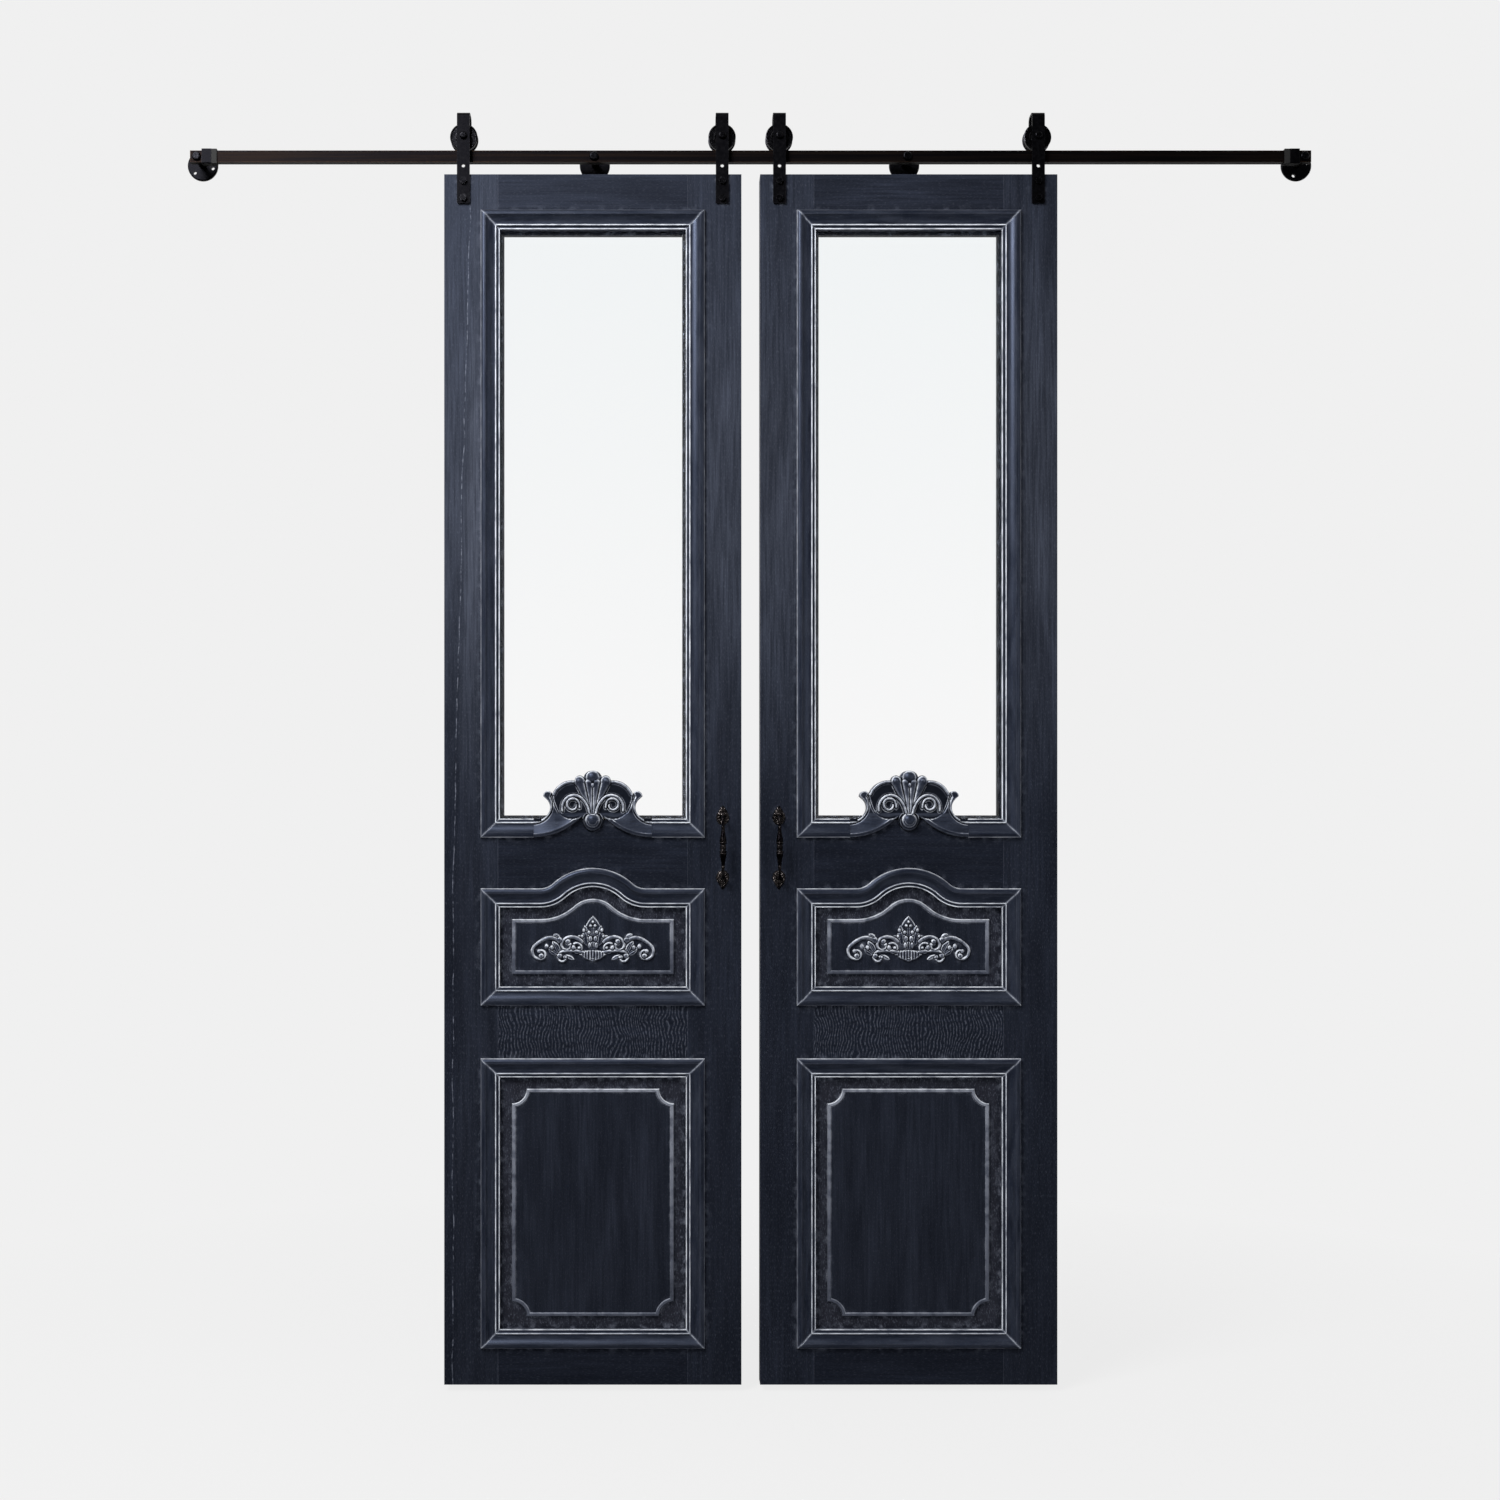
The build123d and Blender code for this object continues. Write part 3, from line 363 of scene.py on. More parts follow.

# Each board: the grain's axis, the haze of wax with its painted light up the door, its share in
# the pores and on edges, and what sets it apart; a bead's pale edges brighten between two
# heights, a painted highlight on its top run

BOARDS = {
    "stile": dict(axis="Z", haze=0.085, pores=0.05, edge=0.1),
    "glued_stile": dict(axis="Z", haze=0.08, pores=0.05, edge=0.14, crack=True),
    "rail": dict(axis="X", haze=0.06, pores=0.04, edge=0.06, sheen=0.22),
    "curly_rail": dict(axis="X", haze=0.02, pores=0.02, edge=0.06, sheen=0.26, figure=True),
    "upper_panel": dict(axis="Z", haze=0.1, pores=0.12, edge=0.32, bead=(740, 800)),
    "lower_panel": dict(axis="Z", haze=0.16, pores=0.1, edge=0.28, bead=(150, 480)),
}
BOARD_OF = {
    "stile_outer": "stile",
    "stile_inner": "stile",
    "top_rail": "rail",
    "lock_rail": "rail",
    "mid_rail": "curly_rail",
    "bottom_rail": "rail",
    "upper_panel": "upper_panel",
    "lower_panel": "lower_panel",
    "glass_stops": "rail",
}


def wood_grain(add, place, wood, axis, cloud_width, cloud_length):
    """Streaks, clouds and open pores, each drawn out along the grain's axis."""
    fields = (
        (wood.streak_width, wood.streak_length, 3, 0.55),
        (cloud_width, cloud_length, 4, 0.6),
        (wood.pore_width, wood.pore_length, 2, 0.55),
    )
    for width, run, detail, rough in fields:
        sizes = [run if letter == axis else width for letter in "XYZ"]
        yield stretched_noise(add, place, sizes, detail, rough)


def wax_over(add, wood, share, under):
    """Lime wax over stain: a bluish film where it is thin, chalk white where it is thick."""
    film = add("blend", add("ramp", share, 0.12, 0.6), wood.wax_thin, wood.wax)
    return add("blend", share, under, film)


def waxed_wood(name, axis, haze, pores, edge, sheen=0.3, crack=False, bead=None, figure=False):
    """Open-grained hardwood, ebonised with stain, then lime-waxed and rubbed back.

    The eye gets a soft blue-black with cloudy streaks along the grain, pale flecks
    in the pores and a chalky line on every arris; painted light makes it paler up the
    door to about 1.5 m and dimmer at the very top, and painted shade darkens its corners.
    """
    wood = bpy.context.scene.barn_door_wood
    material = bpy.data.materials.new(name)
    add = fresh_nodes(material)
    place = add("place")
    height = add("part", place)
    streaks, clouds, flecks = wood_grain(add, place, wood, axis, mm(34), mm(230))
    patches = stretched_noise(add, place, (mm(14),) * 3, 3)
    # Thinner stain in the streaks and clouds, and, as painted light, paler towards the top of the
    # door
    worn_and_painted_light = add(
        "times",
        add("ramp", streaks, 0.3, 0.72),
        add("ramp", clouds, 0.28, 0.7),
        add("ramp", height, 0.1, 1.9, 0.45, 1.0),
    )
    stain = add("blend", worn_and_painted_light, wood.stain, wood.stain_worn)
    # Haze of wax in clouds and streaks; as painted light it grows from 1.0 m to 1.5 m up and falls
    # back above 1.7 m, which dims the door's top
    haze_and_painted_light = add(
        "times",
        add("ramp", clouds, 0.2, 0.75, 0.35, 1.0),
        haze,
        add("ramp", streaks, 0.35, 0.65, 0.45, 1.0),
        add("ramp", height, 1.0, 1.5, 0.12, 1.0),
        add("ramp", height, 1.7, 2.1, 1.0, 0.35),
    )
    broken = add("ramp", patches, 0.3, 0.62, 0.25, 1.0)
    edges = add("times", edge_mask(add, wood.edge), broken, edge)
    if bead:
        flecks = stretched_noise(add, place, (mm(1.4), mm(1.4), mm(4.0)), 2)
        depth = add("part", place, out="Y")
        scraped = add("ramp", depth, mm(-4.6), mm(-3.2))
        stain = add("blend", add("times", scraped, 0.3), stain, wood.bare)
        pores = add("ramp", scraped, 0, 1, pores * 0.25, pores)
        # painted highlight: the bead's pale edges and chamfers brighten towards its top run
        run = add("ramp", height, mm(bead[0]), mm(bead[1]), 0.4, 1.0)
        chamfers = add("times", chamfer_wax_and_highlight(add, depth, patches), run)
        edges = add("greatest", add("times", edges, run), chamfers)
    layers = [haze_and_painted_light, add("times", add("ramp", flecks, 0.56, 0.7), pores), edges]
    if crack:
        layers.append(glued_crack(add, place, haze_and_painted_light))
    if figure:
        layers.append(curly_figure(add, place))
    openness = add("openness", mm(14))
    corner = add("ramp", openness, 0.45, 0.9, 1.0, 0.0)
    layers.append(add("times", corner, add("ramp", patches, 0.5, 0.66), 0.26 if bead else 0.16))
    wax = add("ramp", add("plus", *layers), 0, 1)
    # painted shade: the stain turns darkest where the AO finds the wood closed in
    shaded = add("blend", add("ramp", openness, 0.35, 0.95), wood.stain, stain)
    colour = wax_over(add, wood, wax, shaded)
    rough = add("ramp", clouds, 0.3, 0.7, 0.42, 0.58)
    normal = add("bump", add("plus", add("times", streaks, 0.5), flecks), mm(0.5), 0.35)
    add("surface", add("waxed", colour, rough, normal, sheen, linear(GLEAM)))
    return material


def curly_figure(add, place):
    """Pale flecks along the curls of a board cut across a branch."""
    swirl = add("bands", place, 58.0, 26.0, 2.0, 0.26)
    broken = stretched_noise(add, place, (mm(2.0), mm(2.0), mm(6)), 2)
    return add("times", add("ramp", swirl, 0.45, 0.95), add("ramp", broken, 0.4, 0.62), 0.12)


def chamfer_wax_and_highlight(add, depth, patches):
    """Wax on a panel's bead, the only part this proud, with painted highlight on up-facing
    chamfers.
    """
    return add(
        "times",
        # painted highlight: more where the chamfer faces up, towards the lamp
        add("ramp", add("part", add("facing")), -0.2, 0.4, 0.1, 0.7),
        add("ramp", depth, mm(-5.55), mm(-5.8)),
        add("ramp", patches, 0.3, 0.55, 0.45, 1.0),
    )


def glued_crack(add, place, haze_and_painted_light):
    """A thin broken line where the stile's board was glued, and the paler board beyond it."""
    line = add(
        "plus",
        add("ramp", add("part", place), mm(900), mm(2100), mm(-525), mm(-495)),
        add("ramp", stretched_noise(add, place, (1.0, 1.0, mm(130)), 3), 0.2, 0.8, mm(-4), mm(4)),
    )
    beyond = add("minus", add("part", place, out="X"), line)
    broken = stretched_noise(add, place, (mm(20), mm(20), mm(9)), 4)
    faded = add("ramp", broken, 0.44, 0.66, 0.01, 0.22)
    seam = add("times", add("ramp", add("size", beyond), mm(0.4), mm(1.2), 1.0, 0.0), faded)
    paler = add("times", add("ramp", beyond, 0, mm(12)), add("times", haze_and_painted_light, 0.8))
    return add("plus", seam, paler)


def waxed_carving(name, axis, haze, rough=0.3, along_sticks=False):
    """The same wood, carved or moulded: its wax and painted shade masks come with the mesh.

    The eye gets bright wax on beads, mitres and ridges, painted highlight where relief faces
    up and painted shade, near black, in the deep hollows, all over a bluish sheen.
    """
    wood = bpy.context.scene.barn_door_wood
    material = bpy.data.materials.new(name)
    add = fresh_nodes(material)
    layers = ("wax", "dark", "across", "along")
    mask, hollow, across, along = (add("attribute", attribute_name=layer) for layer in layers)
    place = add("joined", across, along) if along_sticks else add("place")
    streaks, clouds, flecks = wood_grain(add, place, wood, axis, mm(12), mm(70))
    patches = stretched_noise(add, place, (mm(9), mm(9), mm(30 if along_sticks else 9)), 4, 0.65)
    clouded = add("times", add("ramp", clouds, 0.35, 0.7), haze)
    haze_and_painted_light = add("plus", clouded, add("times", add("ramp", flecks, 0.6, 0.72), 0.07))
    # painted shade: the haze of wax is taken away where the mesh's dark mask lies
    haze_and_painted_light = add("times", haze_and_painted_light, add("ramp", hollow, 0, 0.6, 1.0, 0.0))
    edges = add("times", mask, add("ramp", patches, 0.34, 0.6, 0.35, 1.0))
    wax = add("ramp", add("plus", haze_and_painted_light, edges), 0, 1)
    stain = add("blend", add("ramp", streaks, 0.3, 0.7, 0.0, 0.8), wood.stain, wood.stain_worn)
    # painted shade: the dark mask turns the stain near black in the hollows
    stain = add("blend", hollow, stain, linear(HOLLOW_SHADE))
    colour = wax_over(add, wood, wax, stain)
    roughness = add("ramp", clouds, 0.3, 0.7, rough, rough + 0.14)
    normal = add("bump", streaks, mm(0.3), 0.3)
    add("surface", add("waxed", colour, roughness, normal, 0.5, linear(GLEAM)))
    return material


# Metal, rubber and glass

# Each metal: its two colours in the settings, its roughness, and the size of its grit
# and of its rubbed edges in millimetres

METALS = {
    # dull oily black with slightly grey arrises
    "blackened_forged_iron": ("iron", "iron_rubbed", 0.46, 0.8, 0.8),
    # smoother black, bright where a bolt or a wheel is rubbed
    "blackened_turned_iron": ("iron", "bright", 0.34, 0.5, 0.9),
    # brown-black with streaks along the bar and brown edges
    "bronzed_drawn_steel": ("bronze", "bronze_rubbed", 0.5, 0.8, 1.6),
    # satin yellow with paler edges
    "turned_bearing_brass": ("brass", "brass_rubbed", 0.35, 0.6, 0.5),
    # pitted black skin with glints on the high points
    "sand_cast_iron": ("cast", "cast_rubbed", 0.3, 2.6, 0.7),
}


def rubbed_metal(name, streak=None, pits=0.15):
    """Metal with a dark skin that is rubbed through along its edges.

    The eye gets a near-black body with a soft gleam and slightly brighter arrises.
    """
    metal = bpy.context.scene.barn_door_metal
    base, rubbed, rough, grit, edge = METALS[name]
    material = bpy.data.materials.new(name)
    add = fresh_nodes(material)
    place = add("place")
    mottle = stretched_noise(add, place, streak or (mm(grit * 6),) * 3, 4, 0.6)
    skin = stretched_noise(add, place, (mm(grit),) * 3, 3)
    edges = add("times", edge_mask(add, mm(edge)), add("ramp", mottle, 0.3, 0.65), 0.6)
    share = add("plus", edges, add("ramp", mottle, 0.45, 0.9, 0, 0.15))
    colour = add("blend", share, getattr(metal, base), getattr(metal, rubbed))
    roughness = add("ramp", mottle, 0.3, 0.7, rough - 0.06, rough + 0.08)
    add("surface", add("plain", colour, roughness, add("bump", skin, mm(pits), 0.5), 1.0))
    return material


def moulded_rubber():
    """Dull moulded rubber: no gleam, a fine even grain."""
    metal = bpy.context.scene.barn_door_metal
    material = bpy.data.materials.new("moulded_rubber")
    add = fresh_nodes(material)
    grain = stretched_noise(add, add("place"), (mm(0.8),) * 3, 2)
    colour = add("blend", add("ramp", grain, 0.4, 0.8, 0, 0.3), metal.rubber, linear("#19191A"))
    add("surface", add("plain", colour, 0.75, add("bump", grain, mm(0.1), 0.4)))
    return material


def float_glass():
    """Clear float glass: almost no colour, a faint cool tint that grows towards the top, a polished
    face.
    """
    material = bpy.data.materials.new("float_glass")
    add = fresh_nodes(material)
    place = add("place")
    smear = stretched_noise(add, place, (mm(220),) * 3, 2)
    upper = add("ramp", add("part", place), 1.1, 2.0)
    tint = add("blend", upper, linear("#FFFFFF"), linear("#F9FCFD"))
    add("surface", add("clear", tint, add("ramp", smear, 0.3, 0.7, 0.0, 0.02), 1.0, 1.45))
    return material


# Mouldings

# Each opening, how deep its sticks reach into the leaf, and the wax on their outer
# edges (left, right, top, bottom, where the lite has two) and on their beads; the outer
# edges' wax differs stick by stick as painted light, most on the panels' top and left sticks

MOULDINGS = {
    "lite": {
        "opening": LITE_OPENING,
        "drop": LITE_DROP,
        "outer_edge_wax_and_light": (0.6, 0.6, 0.3, 0.6, 0.6),
        "bead_wax": 1.0,
        "crested": True,
    },
    "upper": {
        "opening": UPPER_OPENING,
        "drop": PANEL_DROP,
        "outer_edge_wax_and_light": (0.45, 0.35, 1.0, 0.2),
        "bead_wax": 0.8,
        "arched": True,
    },
    "lower": {
        "opening": LOWER_OPENING,
        "drop": PANEL_DROP,
        "outer_edge_wax_and_light": (0.35, 0.3, 0.9, 0.25),
        "bead_wax": 0.8,
    },
}


def moulding_section(drop, outer_edge_wax_and_light, bead_wax):
    """The moulding's section as (across, rise, wax), from its outer foot inwards."""
    section = [(0, 0, 0), (0, 2.4, outer_edge_wax_and_light), (0, 3, outer_edge_wax_and_light)]
    for x, y in arc_through((0, 3), (2.2, 7.6), (7, 9.5), 1.2)[1:]:
        section.append((x, y, outer_edge_wax_and_light * max(0, 1 - x / 2.4)))
    section.append((9, 9.5, 0.03))
    for x, y in arc_through((9, 9.5), (15, 4.8), (23, 2.6), 1.6)[1:]:
        section.append((x, y, 0.0))
    section.append((24.5, 2.6, 0))
    for x, y in arc_through((24.5, 2.6), (26.5, 4.3), (28.5, 2.6), 0.7)[1:]:
        section.append((x, y, max(0.0, bead_wax - max(0, abs(x - 26.5) - 0.4) / 1.1)))
    section += [(28.5, 0.8, 0), (31.4, 0.8, 0), (32.0, 0.8, bead_wax)]
    section += [(33.2, 0.8, bead_wax), (33.5, 0.4, bead_wax)]
    section += [(33.5, -1.0, 0.2), (33.5, -drop, 0), (30.7, -drop, 0), (30.7, 0, 0)]
    return section


# How each stick starts at a mitre: distance along, depth of the open joint, extra wax

MITRE_STATIONS = [(0, 0.8, 0.55), (0.6, 0, 0.6), (1.4, 0, 0.2), (4.0, 0, 0)]
MITRE_ROOM = 48.0  # length of a stick that its mitre may take up
BOARD_SHIFTS = (3100, 5300)  # along the grain, for the right door and for each next stick


def stick_rows(start, end, inward, mitred=(True, True)):
    """Rows along a straight stick: place, lean across, direction, distance, sink and wax."""
    start, end, inward = (np.array(v, float) for v in (start, end, inward))
    run = np.linalg.norm(end - start)
    way = (end - start) / run
    rows = []
    for distance, sink, wax in MITRE_STATIONS:
        place, lean = start + way * distance, inward + way * mitred[0]
        rows.append((place, lean, way, distance, sink * mitred[0], wax * mitred[0]))
    short = run < 2.5 * MITRE_ROOM
    for distance in [MITRE_ROOM] if short else np.linspace(MITRE_ROOM, run - MITRE_ROOM, 6):
        rows.append((start + way * distance, inward, way, distance, 0, 0))
    for distance, sink, wax in reversed(MITRE_STATIONS):
        place, lean = end - way * distance, inward - way * mitred[1]
        rows.append((place, lean, way, run - distance, sink * mitred[1], wax * mitred[1]))
    return rows


def arched_rows(top, half):
    """Rows along the arched top stick of the upper panel, from left to right."""
    foot_z = top + ARCH_FOOT_RADIUS
    drop = ARCH_FOOT_RADIUS - ARCH_RISE
    radius = (ARCH_HALF_SPAN**2 + drop**2 - ARCH_FOOT_RADIUS**2) / (2 * ARCH_RISE)
    centre_z = top + ARCH_RISE - radius
    lean = math.atan2(foot_z - centre_z, ARCH_HALF_SPAN)
    straight = stick_rows((-half, top), (half, top), (0, -1))
    ends = len(MITRE_STATIONS)
    rows = straight[:ends]
    distance = half - ARCH_HALF_SPAN
    arcs = (
        ((-ARCH_HALF_SPAN, foot_z), ARCH_FOOT_RADIUS, 1, (-math.pi / 2, -lean, 9)),
        ((0, centre_z), radius, -1, (math.pi - lean, lean, 29)),
        ((ARCH_HALF_SPAN, foot_z), ARCH_FOOT_RADIUS, 1, (math.pi + lean, 1.5 * math.pi, 9)),
    )
    last = None
    for centre, size, sign, turn in arcs:
        angles = np.linspace(*turn)
        for angle in angles if sign > 0 else angles[1:-1]:
            out = np.array((math.cos(angle), math.sin(angle)))
            place = np.array(centre) + size * out
            if last is not None:
                distance += np.linalg.norm(place - last)
            way = np.array((-out[1], out[0])) * sign
            rows.append((place, out * sign, way, distance, 0, 0))
            last = place
    tail = distance + half - ARCH_HALF_SPAN
    for place, across, way, _, sink, wax in straight[-ends:]:
        rows.append((place, across, way, tail - (half - place[0]), sink, wax))
    return rows


def sweep(rows, section, board):
    """Carries the section along the rows: vertices, faces, and the values at each vertex."""
    vertices, along, across, wax = [], [], [], []
    for place, lean, way, distance, sink, extra in rows:
        for inset, rise, keep in section:
            x, z = place + lean * inset
            height = rise - sink if rise > sink else min(rise, 0)
            vertices.append((x, LEAF_FRONT - height, z))
            along.append(mm(distance + inset * float(lean @ way) + board))
            across.append(mm(inset))
            wax.append(min(1, max(keep, extra * (rise > 0.5))))
    size = len(section)
    faces = [tuple(range(size - 1, -1, -1))]
    for row in range(len(rows) - 1):
        for point in range(size):
            a, b = row * size + point, row * size + (point + 1) % size
            faces.append((a, b, b + size, a + size))
    last = (len(rows) - 1) * size
    faces.append(tuple(range(last, last + size)))
    return vertices, faces, {"along": along, "across": across, "wax": wax}


def frame_sticks(opening, arched=False, crested=False):
    """Rows for the sticks round an opening; a crest splits the bottom one in two."""
    half = OPENING_HALF + MOULDING_COVER
    low, high = opening[0] - MOULDING_COVER, opening[1] + MOULDING_COVER
    sticks = [
        stick_rows((-half, high), (-half, low), (1, 0)),
        stick_rows((half, low), (half, high), (-1, 0)),
        arched_rows(high, half) if arched else stick_rows((-half, high), (half, high), (0, -1)),
    ]
    if crested:
        end = CREST_HALF + STICK_GAP
        sticks.append(stick_rows((-half, low), (-end, low), (0, 1), (True, False)))
        sticks.append(stick_rows((end, low), (half, low), (0, 1), (False, True)))
    else:
        sticks.append(stick_rows((-half, low), (half, low), (0, 1)))
    return sticks


def moulding_piece(side, kind, material, opening, drop, outer_edge_wax_and_light, bead_wax, **shape):
    """One opening's sticks as one piece."""
    vertices, faces = [], []
    values = {"along": [], "across": [], "wax": []}
    board = 0 if side == "left" else BOARD_SHIFTS[0]
    for rows, edge_wax_and_light in zip(frame_sticks(opening, **shape), outer_edge_wax_and_light):
        board += BOARD_SHIFTS[1]
        points, sides, more = sweep(rows, moulding_section(drop, edge_wax_and_light, bead_wax), board)
        vertices, faces = joined((vertices, faces), (points, sides))
        for label in values:
            values[label] += more[label]
    name = f"{side}_{kind}_moulding"
    make_piece(name + "_waxed", vertices, faces, side, material, name, values)


# Height fields for the carving


def stroke(heights, points, line, widths, rise, groove=0.0):
    """Lays a rounded ridge along a line, with a groove cut beside it."""
    gap, share = nearest(points, line)
    half = np.interp(share, np.linspace(0, 1, len(widths)), widths) / 2
    rises = np.interp(share, np.linspace(0, 1, len(rise)), rise) if np.ndim(rise) else rise
    ratio = np.clip(gap / half, 0, 1)
    ridge = rises - (1 - np.sqrt(1 - ratio**2)) * half * 1.1
    beside = np.exp(-(((gap - half) / 1.1) ** 2)) * groove
    return np.where(gap < half, np.maximum(heights, ridge), heights - beside)


def ball(heights, points, centre, radius, top, flatten):
    """Lays a flattened ball into the field, its top at the given height."""
    gap = np.hypot(*(points - centre).T)
    dome = top - (radius - np.sqrt(np.clip(radius**2 - gap**2, 0, None))) * flatten
    return np.where(gap < radius, np.maximum(heights, dome), heights)


NECK_EDGE = ((104, -35.5), (48.8, -21.6), (17.3, 3.6))
EAR_ARCS = (((96, -2), (75.6, 13), (81.5, 32)), ((87.4, 37.5), (84, 44.5), (70.8, 41.4)))
SHELL_ARCS = (
    ((70.8, 41.4), (57.5, 58.5), (34.6, 65.5)),
    ((31.5, 65), (27, 73), (16, 70.5)),
    ((16, 70.5), (11.5, 78.5), (0, 82)),
)
BOSS_ARC = ((0, -24.5), (13, -19), (18, -4))
INNER_ARCS = (((17.3, 3.6), (36, -3), (58, 6)), ((58, 6), (66, 22), (70.8, 41.4)))
EDGE_TOP, EDGE_LOW = -2.0, -35.5  # the straight end where the crest meets the sticks

# Where the sticks' cove and bead run up into the ears, then the shell's rim, fan and
# scrolls; a stroke is a line, widths, rise and groove, a ball is centre, radius, top
# and flatness

COVE = turning_line((CREST_HALF, -11.5), 180, [(33, -85), (30, -36)], 2)
BEAD = turning_line((CREST_HALF, -9.0), 180, [(30.5, -85), (27.5, -30)], 2)
FAN_STROKES = (
    (arc_through((33.6, 62.6), (55.6, 56), (68.6, 40.5), 2), [5.4], 9.4, 1.2),
    ([(3.2, 8), (13.5, 36), (23.5, 63.5)], [3.4, 8.5, 16.5], [9, 12, 14.2], 2.2),
    ([(1.6, 8), (4.0, 36), (6.5, 62)], [3.4, 7.0, 12.5], [10, 13, 15], 2.2),
)
FAN_BALLS = (
    ((23.5, 63.5), 9.4, 13.6, 0.8),
    ((0, 70), 12.5, 15.0, 0.8),
    ((0, 56.5), 4.2, 15.2, 1.0),
)
STEM = turning_line((5, 4), 82, [(60, -16), (42, -22), (20, -90), (24, -55)], 1.5)
VOLUTE = turning_line((23, 17), 92, [(24, -22), (10.8, -130), (9.6, -120), (7, -100)], 1.0)
SCROLL_STROKES = (
    (STEM, [4.0, 4.6, 5.0, 4.0], [12.5, 12.5, 12, 9.5], 2.4),
    (VOLUTE, [3.0, 4.4, 4.4, 3.4], [10.5, 12, 11.5, 10], 3.0),
)


def crest_outline(step):
    """The crest's right half as points, from the boss's foot round to the top."""
    points = arc_through(*BOSS_ARC, step)
    points += arc_through(*reversed(NECK_EDGE), step)
    count = round((EDGE_TOP - EDGE_LOW) / step)
    points += [(CREST_HALF, z) for z in np.linspace(EDGE_LOW, EDGE_TOP, count)[1:]]
    points += [(CREST_HALF - (CREST_HALF - 96) * i / 8, EDGE_TOP) for i in range(1, 8)]
    for arc in EAR_ARCS + SHELL_ARCS:
        points += arc_through(*arc, step)
    clean = [points[0]]
    for point in points[1:]:
        if math.dist(point, clean[-1]) > step * 0.3:
            clean.append(point)
    return clean


def neck_heights(points):
    """The moulding's band as it sweeps up from the sticks to the boss and the ears."""
    lower, _ = nearest(points, arc_through(*NECK_EDGE, 2))
    to_inner, _ = nearest(points, arc_chain(INNER_ARCS, 2))
    to_cove, _ = nearest(points, COVE)
    upper = np.minimum(to_inner, to_cove)
    shoulder = np.clip(lower / 7, 0, 1)
    bulge = 3 + 6.5 * np.sqrt(1 - (1 - shoulder) ** 2)
    fall = np.clip((lower - 7) / np.maximum(lower - 7 + upper, 0.1), 0, 1)
    depth = np.interp(points[:, 0], [40, 104], [3.0, 6.6])
    return bulge - depth * fall**0.8, lower, to_cove, to_inner


def inside_polygon(points, polygon):
    """Whether each point lies inside a closed polygon."""
    polygon = np.array(polygon, float)
    inside = np.zeros(len(points), bool)
    x, z = points[:, 0], points[:, 1]
    for a, b in zip(polygon, np.roll(polygon, -1, 0)):
        if a[1] == b[1]:
            continue
        crosses = (a[1] > z) != (b[1] > z)
        at = (b[0] - a[0]) * (z - a[1]) / (b[1] - a[1]) + a[0]
        inside ^= crosses & (x < at)
    return inside


def crest_heights(points, outline):
    """Height of the crest over the leaf at each point, in millimetres."""
    points = np.column_stack([np.minimum(np.abs(points[:, 0]), CREST_HALF - 0.1), points[:, 1]])
    x, z = points[:, 0], points[:, 1]
    to_arch, _ = nearest(points, arc_through(*SHELL_ARCS[0], 2))
    heights = 5.0 + 3.4 * np.exp(-to_arch / 7)
    neck, lower, to_cove, to_inner = neck_heights(points)
    edge = arc_chain((NECK_EDGE, *INNER_ARCS, EAR_ARCS[1][::-1]), 2)
    edge += arc_through(*EAR_ARCS[0][::-1], 2) + [(CREST_HALF, EDGE_TOP)]
    neck_zone = inside_polygon(points, edge)
    ear_zone = [(71, 46), (90, 46), (90, 36), (82, 20), (CREST_HALF, 20)]
    beyond = inside_polygon(points, COVE + ear_zone)
    ear = np.interp(z, [-12, -4, 12, 34], [2.6, 3.0, 7.5, 9.5])
    neck = np.where(beyond, ear, neck)
    neck = neck - 1.6 * np.exp(-((to_cove / 1.3) ** 2))
    neck = neck - 2.4 * np.exp(-((to_inner / 1.8) ** 2)) * smooth_step(4, 12, z)
    heights = np.where(neck_zone, neck, heights)
    heights = stroke(heights, points, BEAD, [4.0, 3.2, 2.4], [4.4, 6.5, 9.5])
    sunk_foot = (z > -7.2) & (z < -1.9) & (x > 90) & beyond
    heights = np.where(sunk_foot, np.minimum(heights, 0.9), heights)
    for ridge in FAN_STROKES:
        heights = stroke(heights, points, *ridge)
    heights = heights - 1.8 * np.exp(-((x / 0.8) ** 2)) * smooth_step(8, 14, z) * (z < 62)
    for round_end in FAN_BALLS:
        heights = ball(heights, points, *round_end)
    for ridge in SCROLL_STROKES:
        heights = stroke(heights, points, *ridge)
    boss = ball(np.zeros(len(x)), points, (0, -7), 17.6, 12.0, 0.75)
    boss = ball(boss, points, (0, -5.5), 13.4, 18.0, 0.85)
    heights = np.where((boss > 0) & (z < 6.3), np.maximum(boss, 3.0), heights)
    curl, _ = nearest(points, arc_through((-9, -9), (0, -15.5), (9.5, -8), 2))
    heights = heights - 1.3 * np.exp(-(curl**2))
    edge, _ = nearest(points, outline)
    rim = 2.0
    round_edge = rim - np.sqrt(np.clip(rim**2 - (rim - np.clip(edge, 0, rim)) ** 2, 0, None))
    round_edge *= (x < 92) & ((lower > 1.5) | (z > 4))
    return np.maximum(heights - round_edge, 0.8)


def sampled(field, low, high, step):
    """Works a height field out once on a grid and gives a reader for any points in it."""
    xs, zs, points = grid(low, np.add(high, step), step)
    table = field(points).reshape(len(zs), len(xs))

    def read(points):
        across = np.clip((np.abs(points[:, 0]) - low[0]) / step, 0, len(xs) - 1.001)
        up = np.clip((points[:, 1] - low[1]) / step, 0, len(zs) - 1.001)
        i, j = across.astype(int), up.astype(int)
        u, v = across - i, up - j
        below = table[j, i] * (1 - u) + table[j, i + 1] * u
        above = table[j + 1, i] * (1 - u) + table[j + 1, i + 1] * u
        return below * (1 - v) + above * v

    return read


